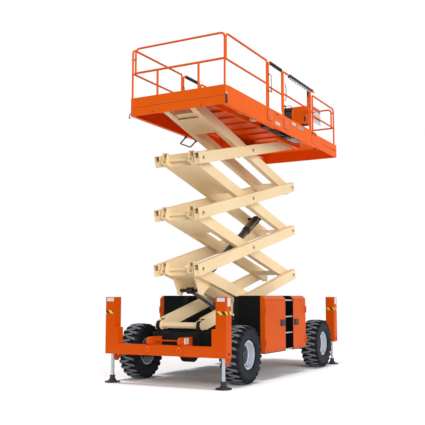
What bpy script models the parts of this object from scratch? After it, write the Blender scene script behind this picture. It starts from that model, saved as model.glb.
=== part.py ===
import math

import bmesh
import bpy
from mathutils import Matrix, Vector

# A four stage rough terrain scissor lift, raised, with its deck extension run out.
# Metres. X to the right, Y towards the front, Z up. Heights count from the ground.

# Fits
GAP = 0.0003
CLEAR = 0.005
SINK = 0.02
PIN_SIDES = 8
TUBE_SIDES = 6
ROUND_SIDES = 12

# Wheels and axles
TYRE_R = 0.47
TYRE_W = 0.35
HALF_WIDTH = 1.145
RIM_R = 0.235
HUB_SEAT = 0.018
LUG_DEPTH = 0.026
LUG_COUNT = 20
LUG_LEAN = 0.9
TREAD_STRIP = 0.008
AXLE_Y = 1.71
AXLE_H = 0.14
AXLE_END = 0.62
DIFF_R = 0.155
DIFF_HALF = 0.10
NECK_R = 0.12
NECK_TIP_R = 0.07
NECK_END = 0.24
HALF_SHAFT_R = 0.05
DRUM_R = 0.10
FRONT_DRUM_W = 0.10
REAR_DRUM_W = 0.25
KINGPIN_X = 0.72
KINGPIN_R = 0.045
KINGPIN_ROOM = 0.025
STEER_FORK_H = 0.25
STEER_FORK_HALF = 0.06
STEER_FORK_WEB = 0.08
STEER_FORK_LIP = 0.03
SPINDLE_R = 0.04
STEER_ARM = 0.17
STEER_ARM_T = 0.03

# Chassis
RAIL_IN = 0.345
RAIL_OUT = 0.445
RAIL_H = 0.26
SPRING_SEAT = 0.02
CHASSIS_END = 2.15
CROSS_H = 0.10
FOOT_BEAM_H = 0.065
BRACKET_W = 0.08
CHANNEL_NEAR = 0.92
CHANNEL_FAR = 2.05
CHANNEL_OUT = 0.533
CHANNEL_WALL = 0.010

# Outriggers and jacks
BEAM_OUT_Y = 2.528
BEAM_IN_Y = 2.378
BEAM_LOW = 0.469
BEAM_TOP = 0.632
COLUMN_IN_X = 0.947
COLUMN_OUT_X = 1.13
COLUMN_IN_Y = 2.354
COLUMN_TOP = 1.397
COLUMN_WALL = 0.010
GUSSET_W = 0.07
GUSSET_H = 0.27
BLOCK_IN = 0.26
BLOCK_OUT = 0.32
BLOCK_R = 0.065
BLOCK_HOLE_R = 0.02
SPREADER_R = 0.012
JACK_ROD_R = 0.028
JACK_ROD_TOP = 1.04
JACK_PAD_R = 0.125
JACK_PAD_T = 0.02
JACK_CONE_R = 0.085
JACK_CONE_TOP = 0.065
JACK_HUB_R = 0.045
JACK_HUB_TOP = 0.12
LUG_T = 0.024
LUG_BORE_R = 0.03
TYRE_ROOM = 0.03
REAR_LUG_LOW = 0.35
REAR_LUG_HEEL = 0.43
REAR_LUG_TOP = 0.60
FRONT_LUG_DROP = 0.079

# Hoods along both sides
HOOD_IN = 0.56
HOOD_OUT = 1.064
HOOD_NEAR = -0.97
HOOD_FAR = 0.90
HOOD_LOW = 0.433
HOOD_TOP = 1.42
HOOD_SHOULDER = 1.363
HOOD_CHAMFER = 0.06
HOOD_WALL = 0.012
LADDER_NEAR = -0.085
LADDER_FAR = 0.28
LADDER_DEPTH = 0.13
RUNG_R = 0.013
RUNG_INSET = 0.03
RUNG_LEVELS = (0.458, 0.75, 1.041, 1.337)
DOOR_T = 0.02
DOOR_FIT = 0.004
DOOR_FRAME = 0.02
DOOR_LOW = 0.475
DOOR_TOP = 1.345
HINGE_R = 0.012
HINGE_SET = 0.007
LEAF_LONG = 0.04
LEAF_ROOT = 0.018
HINGE_Z = (0.60, 1.16)
KNUCKLE_H = 0.06
LATCH_LOW = 0.88
LATCH_TOP = 0.99
LATCH_LONG = 0.18
LATCH_T = 0.012
ENGINE_ROOM = 0.05
ENGINE = (-0.90, -0.20, 1.18)
TANK = (-0.88, -0.25, 1.05)

# Scissor stack
STAGES = 4
ARM_LENGTH = 3.96
ARM_ANGLE = math.radians(13.5)
ARM_H = 0.195
ARM_W = 0.10
ARM_WALL = 0.010
OUTER_X = 0.335
INNER_X = 0.21
ARM_TAIL = 0.13
INNER_TAIL = 0.11
FORK_TUBE_START = 0.10
PIVOT_Y = -2.02
PIVOT_RISE = 0.112
PIN_R = 0.03
BOSS_R = 0.055
BOSS_STAND = 0.008
SPACER_R = 0.052
FORK_T = 0.014
FORK_R = 0.075
ROLLER_R = 0.055
ROLLER_IN = 0.455
ROLLER_OUT = 0.515
STUB_END = 0.285
MEMBER_PLATE = 0.012

# Lift cylinders
LOWER_BASE_Y = 0.70
LOWER_BASE_RISE = 0.14
LOWER_HEAD_U = 0.42
LOWER_HEAD_DROP = 0.26
HEAD_LUG_HALF = 0.075
HEAD_LUG_SPREAD = 0.30
UPPER_BASE_U = 0.75
UPPER_HEAD_U = 3.10
BARREL_R = 0.068
GLAND_R = 0.078
GLAND_LONG = 0.07
NECK_BAR_R = 0.048
BASE_EYE_R = 0.060
HEAD_EYE_R = 0.058
BASE_EYE_HALF = 0.07
HEAD_EYE_HALF = 0.055
CYL_ROD_R = 0.036
LOWER_BARREL = 1.62
LOWER_ROD = 1.65
UPPER_BARREL = 2.07
UPPER_ROD = 1.95
HEAD_HALF = 0.194
LUG_IN = 0.1953
HEAD_BOSS_R = 0.07
BASE_LUG_X = 0.10

# Platform, its heights counted from the deck's pivot and from its boards' top
DECK_X = 0.932
DECK_NEAR = -2.166
DECK_FAR = 2.05
BOARD_DROP = 0.102
BOARD_H = 0.324
BOARD_T = 0.012
FLANGE_W = 0.07
FLOOR_DROP = 0.077
FLOOR_T = 0.012
RIB_H = 0.033
RIB_W = 0.04
BEAM_DROP = 0.10
SLOT_Y = -0.12
STEP_PLATE_NEAR = -0.545
STEP_PLATE_FAR = 0.505
STEP_PLATE_T = 0.008
DECK_EAR_R = 0.07
DECK_EAR_T = 0.05
TUBE_R = 0.019
TOP_RAIL_H = 0.888
MID_RAIL_H = 0.448
RAIL_X = 0.913
RAIL_BEND = 0.075
TIGHT_BEND = 0.03
STRIP_H = 0.008
STRIP_NEAR = -2.05
STRIP_FAR = 1.98
POST_STEP = 0.045
END_STEP = 0.06
SHORT_POSTS = (-0.395, 0.419)
WIDE_POST_Y = 1.71
WIDE_POST_HALF = 0.025
RAIL_FAR = 1.95
GATE_NEAR = -0.46
GATE_FAR = 0.26
GATE_DROP = 0.035
GATE_FOOT = 0.09
GATE_PLAY = 0.015

# Deck extension
EXT_FAR = 3.35
EXT_NEAR = 1.20
EXT_BOARD_IN = 0.893
EXT_BOARD_OUT = 0.911
EXT_RISE = 0.032
EXT_TOP_DROP = 0.01
EXT_END_T = 0.04
EXT_SLOT_NEAR = 2.36
EXT_SLOT_H = 0.014
EXT_SLOT_DROP = 0.135
EXT_RAIL_X = 0.86
EXT_RAIL_DROP = 0.05
EXT_RAIL_BACK = 0.08
EXT_STEP = 0.055
CLAMP_H = 0.03

# Control box and entry step
BOX_X = (0.52, 0.83)
BOX_Y = (1.70, 1.93)
BOX_Z = (0.17, 0.55)
PANEL_X = (0.30, 0.53)
PANEL_Y = (1.66, 1.90)
PANEL_Z = (0.28, 0.57)
PANEL_SLOPE = 0.10
HANGER_Y = (1.78, 1.88)
HANGER_T = 0.012
STEP_Y = (-0.32, 0.08)
STEP_OUT = 0.13
STEP_DROP = 0.11
STEP_R = 0.014

# Worked out from the sizes above
WHEEL_X = HALF_WIDTH - TYRE_W / 2
SPINDLE_END = WHEEL_X + HUB_SEAT - GAP
RAIL_LOW = TYRE_R + AXLE_H / 2 + SPRING_SEAT
RAIL_TOP = RAIL_LOW + RAIL_H
PIVOT_Z = RAIL_TOP + PIVOT_RISE
LOWER_BASE_Z = RAIL_LOW + LOWER_BASE_RISE
RISE = ARM_LENGTH * math.sin(ARM_ANGLE)
SPAN = ARM_LENGTH * math.cos(ARM_ANGLE)
TUBE_FLAT = TUBE_R * math.cos(math.pi / TUBE_SIDES)
COLUMN_X = (COLUMN_IN_X + COLUMN_OUT_X) / 2
COLUMN_Y = (COLUMN_IN_Y + BEAM_OUT_Y) / 2
LUG_REACH_Y = AXLE_Y + TYRE_R + TYRE_ROOM
LUG_HOLE_Y = (COLUMN_IN_Y + LUG_REACH_Y) / 2
FRAME_Y = -(EXT_FAR - COLUMN_Y - JACK_PAD_R) / 2
DECK_PIVOT_Z = PIVOT_Z + STAGES * RISE
DECK_LOW = DECK_PIVOT_Z - BOARD_DROP
DECK_TOP = DECK_LOW + BOARD_H
FLOOR_LOW = DECK_TOP - FLOOR_DROP
TOP_OF_FLOOR = FLOOR_LOW + FLOOR_T
STRIP_TOP = DECK_TOP + STRIP_H
TOP_RAIL = DECK_TOP + TOP_RAIL_H
MID_RAIL = DECK_TOP + MID_RAIL_H
EXT_LOW = DECK_LOW + EXT_RISE
EXT_TOP = DECK_TOP - EXT_TOP_DROP
EXT_FLOOR_TOP = TOP_OF_FLOOR + GAP + FLOOR_T
EXT_TOP_RAIL = TOP_RAIL - EXT_RAIL_DROP
EXT_MID_RAIL = MID_RAIL - EXT_RAIL_DROP
ARM_LOW = -ARM_H / 2
UNDER_PLATE = (ARM_LOW, ARM_LOW + MEMBER_PLATE)

CROSS_MEMBERS = [
    # near y, far y, low z, top z
    (-CHASSIS_END, -CHASSIS_END + 0.05, RAIL_LOW, RAIL_TOP),
    (-1.02, -0.94, RAIL_LOW + SINK, RAIL_LOW + SINK + CROSS_H),
    (LOWER_BASE_Y - 0.05, LOWER_BASE_Y + 0.05, RAIL_LOW, RAIL_LOW + FOOT_BEAM_H),
    (CHASSIS_END - 0.05, CHASSIS_END, RAIL_LOW, RAIL_TOP),
]
HOOD_BRACKETS = (-0.80, -0.05, 0.72)
DOORS = [
    # name, near edge, far edge, hinge end
    ("near", HOOD_NEAR + DOOR_FRAME, LADDER_NEAR - 0.025, -1),
    ("far", LADDER_FAR + 0.025, HOOD_FAR - DOOR_FRAME, 1),
]
INNER_MEMBERS = {
    # stage: members across the pair as (from u, to u, (low w, high w))
    1: [(0.045, 0.30, (ARM_LOW, 0.0)), (3.30, 3.55, UNDER_PLATE)],
    2: [(0.045, 0.30, (ARM_LOW, 0.0)), (0.29, 0.75, UNDER_PLATE), (3.30, 3.60, UNDER_PLATE)],
    3: [(0.045, 0.30, (ARM_LOW, 0.0)), (0.29, 1.40, UNDER_PLATE), (3.60, 3.75, UNDER_PLATE)],
    4: [(0.16, 0.32, (-0.06, 0.06)), (0.30, 0.90, UNDER_PLATE), (3.45, 3.70, UNDER_PLATE)],
}
RIBS = (-1.95, -1.45, -0.95, -0.45, 0.05, 0.55, 1.05, 1.55, 1.98)

FINISHES = {
    "orange": ((0.85, 0.13, 0.01), 0.35, 0.0),
    "cream": ((0.84, 0.66, 0.42), 0.45, 0.0),
    "black": ((0.012, 0.012, 0.014), 0.5, 0.0),
    "rubber": ((0.02, 0.022, 0.026), 0.85, 0.0),
    "rim": ((0.62, 0.64, 0.68), 0.4, 0.3),
    "steel": ((0.55, 0.56, 0.58), 0.3, 0.9),
    "barrel": ((0.03, 0.03, 0.035), 0.4, 0.2),
    "chrome": ((0.75, 0.76, 0.78), 0.15, 1.0),
    "engine": ((0.09, 0.10, 0.11), 0.6, 0.3),
}

materials = {}
bodies = {}
pivots = {}


def clear_scene():
    for obj in list(bpy.data.objects):
        bpy.data.objects.remove(obj, do_unlink=True)


def new_collection(name):
    collection = bpy.data.collections.new(name)
    bpy.context.scene.collection.children.link(collection)
    return collection


def finish(name):
    if name in materials:
        return materials[name]
    colour, roughness, metallic = FINISHES[name]
    material = bpy.data.materials.new(name)
    material.use_nodes = True
    shader = material.node_tree.nodes["Principled BSDF"]
    shader.inputs["Base Color"].default_value = (*colour, 1.0)
    shader.inputs["Roughness"].default_value = roughness
    shader.inputs["Metallic"].default_value = metallic
    materials[name] = material
    return material


# Simple solids, each a loose object until it is fused or cut

def from_bmesh(bm, name="solid"):
    mesh = bpy.data.meshes.new(name)
    bm.to_mesh(mesh)
    bm.free()
    obj = bpy.data.objects.new(name, mesh)
    parts.objects.link(obj)
    return obj


def box(low, high):
    low = Vector(low)
    high = Vector(high)
    bm = bmesh.new()
    bmesh.ops.create_cube(bm, size=1.0)
    size = high - low
    bmesh.ops.scale(bm, vec=size, verts=bm.verts)
    bmesh.ops.translate(bm, vec=(low + high) / 2, verts=bm.verts)
    return from_bmesh(bm)


def mirrored_box(side, low, high):
    xs = sorted((side * low[0], side * high[0]))
    return box((xs[0], low[1], low[2]), (xs[1], high[1], high[2]))


def rod(start, end, radius, sides=PIN_SIDES, turn=0.0, end_radius=None):
    start = Vector(start)
    end = Vector(end)
    bm = bmesh.new()
    tip = radius if end_radius is None else end_radius
    bmesh.ops.create_cone(
        bm, cap_ends=True, segments=sides, radius1=radius, radius2=tip,
        depth=(end - start).length)
    aim = Vector((0, 0, 1)).rotation_difference(end - start).to_matrix().to_4x4()
    place = Matrix.Translation((start + end) / 2) @ aim @ Matrix.Rotation(turn, 4, "Z")
    bmesh.ops.transform(bm, matrix=place, verts=bm.verts)
    return from_bmesh(bm)


def cross_pin(x_low, x_high, y, z, radius, turn=0.0, sides=PIN_SIDES):
    # A round bar along X whose first corner stands at the angle turn about X
    bm = bmesh.new()
    bmesh.ops.create_cone(
        bm, cap_ends=True, segments=sides, radius1=radius, radius2=radius,
        depth=abs(x_high - x_low))
    lay = Matrix(((0, 0, 1, 0), (1, 0, 0, 0), (0, 1, 0, 0), (0, 0, 0, 1)))
    place = Matrix.Translation(((x_low + x_high) / 2, y, z)) @ Matrix.Rotation(turn, 4, "X") @ lay
    bmesh.ops.transform(bm, matrix=place, verts=bm.verts)
    return from_bmesh(bm)


def curve_mesh(curve, name="tube"):
    obj = bpy.data.objects.new(name, curve)
    parts.objects.link(obj)
    graph = bpy.context.evaluated_depsgraph_get()
    mesh = bpy.data.meshes.new_from_object(obj.evaluated_get(graph))
    bpy.data.objects.remove(obj, do_unlink=True)
    bm = bmesh.new()
    bm.from_mesh(mesh)
    bmesh.ops.remove_doubles(bm, verts=bm.verts, dist=0.00005)
    bm.to_mesh(mesh)
    bm.free()
    solid = bpy.data.objects.new(name, mesh)
    parts.objects.link(solid)
    return solid


def plate(outline, axis, at, thick):
    # A flat outline in the plane across one axis, its thickness centred on at
    curve = bpy.data.curves.new("outline", "CURVE")
    curve.dimensions = "2D"
    curve.fill_mode = "BOTH"
    curve.extrude = thick / 2
    spline = curve.splines.new("POLY")
    spline.points.add(len(outline) - 1)
    for point, (a, b) in zip(spline.points, outline):
        point.co = (a, b, 0, 1)
    spline.use_cyclic_u = True
    solid = curve_mesh(curve, "plate")
    turns = {
        "X": Matrix(((0, 0, 1, at), (1, 0, 0, 0), (0, 1, 0, 0), (0, 0, 0, 1))),
        "Y": Matrix(((1, 0, 0, 0), (0, 0, -1, at), (0, 1, 0, 0), (0, 0, 0, 1))),
        "Z": Matrix(((1, 0, 0, 0), (0, 1, 0, 0), (0, 0, 1, at), (0, 0, 0, 1))),
    }
    solid.data.transform(turns[axis])
    return solid


def bent_tube(points, radius=TUBE_R, resolution=1):
    curve = bpy.data.curves.new("tube", "CURVE")
    curve.dimensions = "3D"
    curve.bevel_depth = radius
    curve.bevel_resolution = resolution
    curve.use_fill_caps = True
    spline = curve.splines.new("POLY")
    spline.points.add(len(points) - 1)
    for point, place in zip(spline.points, points):
        point.co = (*place, 1)
    return curve_mesh(curve)


def arc(centre, radius, start, end, steps):
    # Points of a circle in a plane, angles in degrees
    points = []
    for step in range(steps + 1):
        angle = math.radians(start + (end - start) * step / steps)
        points.append((centre[0] + radius * math.cos(angle), centre[1] + radius * math.sin(angle)))
    return points


def bends(corners, steps=3):
    # A tube's path through (corner, bend radius) pairs whose corners are right angles
    points = [Vector(corners[0][0])]
    for before, here, after in zip(corners, corners[1:], corners[2:]):
        corner, radius = Vector(here[0]), here[1]
        back = (Vector(before[0]) - corner).normalized() * radius
        onward = (Vector(after[0]) - corner).normalized() * radius
        for step in range(steps + 1):
            angle = math.radians(90 * step / steps)
            points.append(corner + back + onward - back * math.sin(angle) - onward * math.cos(angle))
    points.append(Vector(corners[-1][0]))
    return points


# Joining and cutting

def apply_boolean(target, tool, operation):
    modifier = target.modifiers.new("fit", "BOOLEAN")
    modifier.operation = operation
    modifier.solver = "EXACT"
    modifier.object = tool
    graph = bpy.context.evaluated_depsgraph_get()
    mesh = bpy.data.meshes.new_from_object(target.evaluated_get(graph))
    target.modifiers.clear()
    target.data = mesh
    bpy.data.objects.remove(tool, do_unlink=True)


def fuse(solids):
    base = solids[0]
    for solid in solids[1:]:
        apply_boolean(base, solid, "UNION")
    return base


def cut(target, tools):
    for tool in tools:
        cutters.objects.link(tool)
        apply_boolean(target, tool, "DIFFERENCE")
    return target


def copy_of(solid):
    twin = bpy.data.objects.new(solid.name, solid.data.copy())
    parts.objects.link(twin)
    return twin


def mirrored(solid):
    twin = copy_of(solid)
    bm = bmesh.new()
    bm.from_mesh(twin.data)
    bmesh.ops.scale(bm, vec=(-1, 1, 1), verts=bm.verts)
    bmesh.ops.reverse_faces(bm, faces=bm.faces)
    bm.to_mesh(twin.data)
    bm.free()
    return twin


def turned(solid, angle, y, z):
    # Turns a solid about an X axis through the origin and moves it to y, z
    solid.data.transform(Matrix.Translation((0, y, z)) @ Matrix.Rotation(angle, 4, "X"))
    return solid


# Bodies: an empty on each joint's axis, which carries the body's pieces

def add_body(name, parent, pivot):
    empty = bpy.data.objects.new("at_" + name, None)
    parts.objects.link(empty)
    pivots[name] = Vector(pivot)
    bodies[name] = empty
    if parent is None:
        empty.location = Vector(pivot) + Vector((0, FRAME_Y, 0))
    else:
        empty.parent = bodies[parent]
        empty.location = Vector(pivot) - pivots[parent]


def add_node(name, body, solid, colour):
    solid.name = name
    solid.data.name = name
    solid.data.transform(Matrix.Translation(-pivots[body]))
    solid.parent = bodies[body]
    solid.data.materials.clear()
    solid.data.materials.append(finish(colour))
    solid.data.shade_smooth()
    solid.data.set_sharp_from_angle(angle=math.radians(30))


# Running gear

def spun(profile, segments, centre):
    # Turns a closed profile of (x, radius) points about the X axis through centre
    bm = bmesh.new()
    ring = [bm.verts.new((x, 0, radius)) for x, radius in profile]
    edges = [bm.edges.new((ring[i], ring[(i + 1) % len(ring)])) for i in range(len(ring))]
    bmesh.ops.spin(
        bm, geom=ring + edges, cent=(0, 0, 0), axis=(1, 0, 0), angle=math.tau,
        steps=segments, use_merge=True)
    bmesh.ops.remove_doubles(bm, verts=bm.verts, dist=0.00005)
    bmesh.ops.recalc_face_normals(bm, faces=bm.faces)
    bmesh.ops.translate(bm, vec=centre, verts=bm.verts)
    return bm


def tyre(centre):
    half = TYRE_W / 2
    base = TYRE_R - LUG_DEPTH
    # x, radius: bead, bulged wall, shoulder and the edge of the middle strip
    side = [(half * 0.80, RIM_R), (half, (RIM_R + base) / 2), (half * 0.86, base - 0.02),
            (TREAD_STRIP, base)]
    profile = side + [(-x, radius) for x, radius in reversed(side)]
    segments = 2 * LUG_COUNT
    bm = spun(profile, segments, (0, 0, 0))
    step = math.tau / segments
    tread_floor = base - 0.04
    for vert in bm.verts:
        # The tread leans back towards the shoulders, so that the lugs make a chevron
        if math.hypot(vert.co.y, vert.co.z) > tread_floor:
            lean = LUG_LEAN * step * abs(vert.co.x) / half
            vert.co = Matrix.Rotation(lean, 3, "X") @ vert.co
    bars = {}
    for face in bm.faces:
        middle = face.calc_center_median()
        if math.hypot(middle.y, middle.z) < tread_floor or abs(middle.x) < TREAD_STRIP / 2:
            continue
        angle = math.atan2(middle.z, middle.y) - LUG_LEAN * step * abs(middle.x) / half
        index = math.floor(angle / step + 0.25) % segments
        hand = 1 if middle.x > 0 else 0
        if index % 2 == hand:
            bars.setdefault((hand, index), []).append(face)
    for faces in bars.values():
        raised = bmesh.ops.extrude_face_region(bm, geom=faces)
        tops = [item for item in raised["geom"] if isinstance(item, bmesh.types.BMVert)]
        bmesh.ops.delete(bm, geom=faces, context="FACES_ONLY")
        for vert in tops:
            radius = math.hypot(vert.co.y, vert.co.z)
            reach = TYRE_R - (0.008 if abs(vert.co.x) > half * 0.8 else 0.0)
            vert.co.y *= reach / radius
            vert.co.z *= reach / radius
    bmesh.ops.recalc_face_normals(bm, faces=bm.faces)
    bmesh.ops.triangulate(bm, faces=bm.faces)
    bmesh.ops.translate(bm, vec=centre, verts=bm.verts)
    return from_bmesh(bm)


def rim(side, y):
    half = TYRE_W / 2
    edge = RIM_R * math.cos(math.pi / (2 * LUG_COUNT)) - GAP
    # x, radius: a well with flanges, its disc set back, and a hub cap
    profile = [
        (half * 0.78, edge), (half * 0.78, edge - 0.022), (0.045, edge - 0.040), (0.030, 0.095),
        (0.055, 0.080), (0.085, 0.055), (0.085, 0.0), (0.018, 0.0), (0.018, edge - 0.052),
        (-half * 0.78, edge - 0.022), (-half * 0.78, edge)]
    turned_profile = [(side * x, radius) for x, radius in profile]
    bm = bmesh.new()
    ring = [bm.verts.new((x, 0, radius)) for x, radius in turned_profile]
    edges = [bm.edges.new((ring[i], ring[(i + 1) % len(ring)])) for i in range(len(ring))]
    axis_edge = edges[6]
    edges.remove(axis_edge)
    bm.edges.remove(axis_edge)
    bmesh.ops.spin(
        bm, geom=ring + edges, cent=(0, 0, 0), axis=(1, 0, 0), angle=math.tau,
        steps=16, use_merge=True)
    bmesh.ops.remove_doubles(bm, verts=bm.verts, dist=0.00005)
    bmesh.ops.recalc_face_normals(bm, faces=bm.faces)
    bmesh.ops.translate(bm, vec=(side * WHEEL_X, y, TYRE_R), verts=bm.verts)
    return from_bmesh(bm)


def wheels():
    # name, side, y, carrier
    table = [
        ("rear_left", -1, -AXLE_Y, "chassis"), ("rear_right", 1, -AXLE_Y, "chassis"),
        ("front_left", -1, AXLE_Y, "knuckle_left"), ("front_right", 1, AXLE_Y, "knuckle_right")]
    for name, side, y, carrier in table:
        body = "wheel_" + name
        add_body(body, carrier, (side * WHEEL_X, y, TYRE_R))
        add_node("tyre_" + name, body, tyre((side * WHEEL_X, y, TYRE_R)), "rubber")
        add_node("rim_" + name, body, rim(side, y), "rim")


def axle(y, steered):
    half = AXLE_H / 2
    reach = KINGPIN_X - KINGPIN_R - KINGPIN_ROOM if steered else SPINDLE_END
    solids = [box((-AXLE_END, y - half, TYRE_R - half), (AXLE_END, y + half, TYRE_R + half))]
    solids.append(rod((-DIFF_HALF, y, TYRE_R), (DIFF_HALF, y, TYRE_R), DIFF_R, ROUND_SIDES))
    for side in (-1, 1):
        solids.append(rod(
            (side * SINK, y, TYRE_R), (side * NECK_END, y, TYRE_R), NECK_R, ROUND_SIDES,
            end_radius=NECK_TIP_R))
        solids.append(mirrored_box(
            side, (RAIL_IN, y - half, TYRE_R), (RAIL_OUT, y + half, RAIL_LOW - GAP)))
        if steered:
            fork_low = TYRE_R - STEER_FORK_H / 2
            fork_top = TYRE_R + STEER_FORK_H / 2
            solids.append(mirrored_box(
                side, (reach - STEER_FORK_WEB, y - STEER_FORK_HALF, fork_low),
                (reach, y + STEER_FORK_HALF, fork_top)))
            for low in (fork_low, fork_top - STEER_FORK_LIP):
                solids.append(mirrored_box(
                    side, (reach - 2 * SINK, y - KINGPIN_R - CLEAR, low),
                    (KINGPIN_X + STEER_FORK_LIP, y + KINGPIN_R + CLEAR, low + STEER_FORK_LIP)))
        else:
            solids.append(rod(
                (side * (AXLE_END - SINK), y, TYRE_R), (side * reach, y, TYRE_R), HALF_SHAFT_R))
            solids.append(drum(side, y, WHEEL_X - REAR_DRUM_W))
    return fuse(solids)


def drum(side, y, start):
    # The brake drum inside a wheel
    end = SPINDLE_END - HALF_SHAFT_R
    return rod((side * start, y, TYRE_R), (side * end, y, TYRE_R), DRUM_R, ROUND_SIDES)


def knuckle(side):
    x = side * KINGPIN_X
    seat = STEER_FORK_H / 2 - STEER_FORK_LIP - GAP
    solids = [rod((x, AXLE_Y, TYRE_R - seat), (x, AXLE_Y, TYRE_R + seat), KINGPIN_R, ROUND_SIDES)]
    solids.append(rod((x, AXLE_Y, TYRE_R), (side * SPINDLE_END, AXLE_Y, TYRE_R), SPINDLE_R))
    solids.append(drum(side, AXLE_Y, WHEEL_X - FRONT_DRUM_W))
    half = STEER_ARM_T / 2
    solids.append(mirrored_box(
        side, (KINGPIN_X - half, AXLE_Y - STEER_ARM, TYRE_R - half),
        (KINGPIN_X + STEER_ARM_T, AXLE_Y, TYRE_R + half)))
    return fuse(solids)


# Chassis frame

def roller_channel(side, z, reach_down, reach_up):
    # A channel open towards the middle, round the rollers, with a web to what holds it
    inner = ROLLER_R + GAP
    top = z + inner + CHANNEL_WALL
    low = z - inner - CHANNEL_WALL
    channel = mirrored_box(
        side, (RAIL_OUT + 0.002, CHANNEL_NEAR, low), (CHANNEL_OUT, CHANNEL_FAR, top))
    way = mirrored_box(
        side, (RAIL_IN, CHANNEL_NEAR - 0.1, z - inner),
        (CHANNEL_OUT - CHANNEL_WALL, CHANNEL_FAR + 0.1, z + inner))
    solids = [cut(channel, [way])]
    if reach_down is not None:
        solids.append(mirrored_box(
            side, (RAIL_OUT - SINK, CHANNEL_NEAR + SINK, reach_down),
            (CHANNEL_OUT - 0.033, CHANNEL_FAR - SINK, low + CHANNEL_WALL / 2)))
    if reach_up is not None:
        solids.append(mirrored_box(
            side, (CHANNEL_OUT - 0.043, DECK_NEAR + SINK, DECK_LOW + BEAM_DROP),
            (CHANNEL_OUT - 0.018, CHANNEL_NEAR + SINK, reach_up)))
        solids.append(mirrored_box(
            side, (CHANNEL_OUT - 0.043, CHANNEL_NEAR, top - CHANNEL_WALL / 2),
            (CHANNEL_OUT - 0.018, CHANNEL_FAR, reach_up)))
    return solids


def tongue(side):
    # The ear that carries a lowest outer arm's fork
    mid = OUTER_X + ARM_W / 2
    thick = ARM_W - 2 * (FORK_T + CLEAR)
    round_top = arc((PIVOT_Y, PIVOT_Z), FORK_R, 0, 180, 8)
    outline = [(PIVOT_Y - FORK_R, RAIL_TOP - SINK), (PIVOT_Y + FORK_R, RAIL_TOP - SINK)] + round_top
    ear = plate(outline, "X", side * mid, thick)
    bore = pin_bore(side * (mid - ARM_W), side * (mid + ARM_W), PIVOT_Y, PIVOT_Z, 0.0)
    return cut(ear, [bore])


def pin_bore(x_low, x_high, y, z, frame_turn):
    # A bore whose flats face a pin's corners at rest, clear of it at any angle
    radius = (PIN_R + GAP) / math.cos(math.pi / PIN_SIDES)
    low, high = sorted((x_low, x_high))
    return cross_pin(low, high, y, z, radius, math.pi / PIN_SIDES - frame_turn)


def cylinder_foot(side):
    # One of the two lugs on the cross beam that hold the lower cylinder's base pin
    outline = arc((LOWER_BASE_Y, LOWER_BASE_Z), BASE_EYE_R, 0, 180, 6)
    outline += [(LOWER_BASE_Y - BASE_EYE_R, RAIL_LOW + SINK), (LOWER_BASE_Y + BASE_EYE_R, RAIL_LOW + SINK)]
    return plate(outline, "X", side * BASE_LUG_X, 2 * SINK)


def chassis_frame():
    solids = []
    for side in (-1, 1):
        solids.append(mirrored_box(
            side, (RAIL_IN, -CHASSIS_END, RAIL_LOW), (RAIL_OUT, CHASSIS_END, RAIL_TOP)))
    for near, far, low, top in CROSS_MEMBERS:
        solids.append(box((-RAIL_OUT, near, low), (RAIL_OUT, far, top)))
    for side in (-1, 1):
        for y in HOOD_BRACKETS:
            low = RAIL_LOW + RAIL_H / 4
            solids.append(mirrored_box(
                side, (RAIL_OUT - SINK, y, low), (HOOD_IN - GAP, y + BRACKET_W, low + BRACKET_W)))
        solids.append(tongue(side))
        solids.extend(roller_channel(side, PIVOT_Z, RAIL_TOP - BRACKET_W, None))
        solids.append(cylinder_foot(side))
    pin_half = BASE_LUG_X + SINK + CLEAR
    solids.append(cross_pin(-pin_half, pin_half, LOWER_BASE_Y, LOWER_BASE_Z, PIN_R))
    return fuse(solids)


# Outrigger frames and jacks

def lug_place(end):
    # The tie-down lug's near y, far y, x, low z and top z: towards the tyre at the near end of
    # the machine, under the column at the steered end
    if end < 0:
        return -COLUMN_IN_Y - TYRE_ROOM, -LUG_REACH_Y, COLUMN_X, REAR_LUG_LOW, REAR_LUG_TOP
    x = COLUMN_IN_X + LUG_T
    top = BEAM_LOW + COLUMN_WALL / 2
    return COLUMN_IN_Y + CLEAR, BEAM_OUT_Y - CLEAR, x, BEAM_LOW - FRONT_LUG_DROP, top


def tie_down_lug(side, end):
    near, far, x, low, top = lug_place(end)
    heel = REAR_LUG_HEEL if end < 0 else low
    outline = [(near, top), (near, low + SINK), (near + SINK, low)]
    if end < 0:
        outline.append(((near + far) / 2, low))
    outline += [(far, heel), (far, top)]
    lug = plate(outline, "X", side * x, LUG_T)
    hole_y = -LUG_HOLE_Y if end < 0 else COLUMN_Y
    hole_z = (low + heel) / 2 + 2 * LUG_BORE_R if end < 0 else low + LUG_BORE_R + SINK
    reach = sorted((side * (x - LUG_T), side * (x + LUG_T)))
    return cut(lug, [cross_pin(reach[0], reach[1], hole_y, hole_z, LUG_BORE_R, 0, 10)])


def towing_block(side, end):
    # A block from the chassis over the beam, its round nose drilled for a pin
    front = BEAM_OUT_Y - BLOCK_R
    nose_z = BEAM_TOP + BLOCK_R - CLEAR
    nose = arc((front, nose_z), BLOCK_R, -60, 90, 6)
    root = CHASSIS_END + GAP
    low = BEAM_TOP - SINK
    outline = [(root, nose_z + BLOCK_R), (root, low), (front, low)] + nose
    outline = [(end * y, z) for y, z in outline]
    block = plate(outline, "X", side * (BLOCK_IN + BLOCK_OUT) / 2, BLOCK_OUT - BLOCK_IN)
    reach = sorted((side * (BLOCK_IN - SINK), side * (BLOCK_OUT + SINK)))
    return cut(block, [cross_pin(reach[0], reach[1], end * front, nose_z, BLOCK_HOLE_R, 0, 10)])


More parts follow.
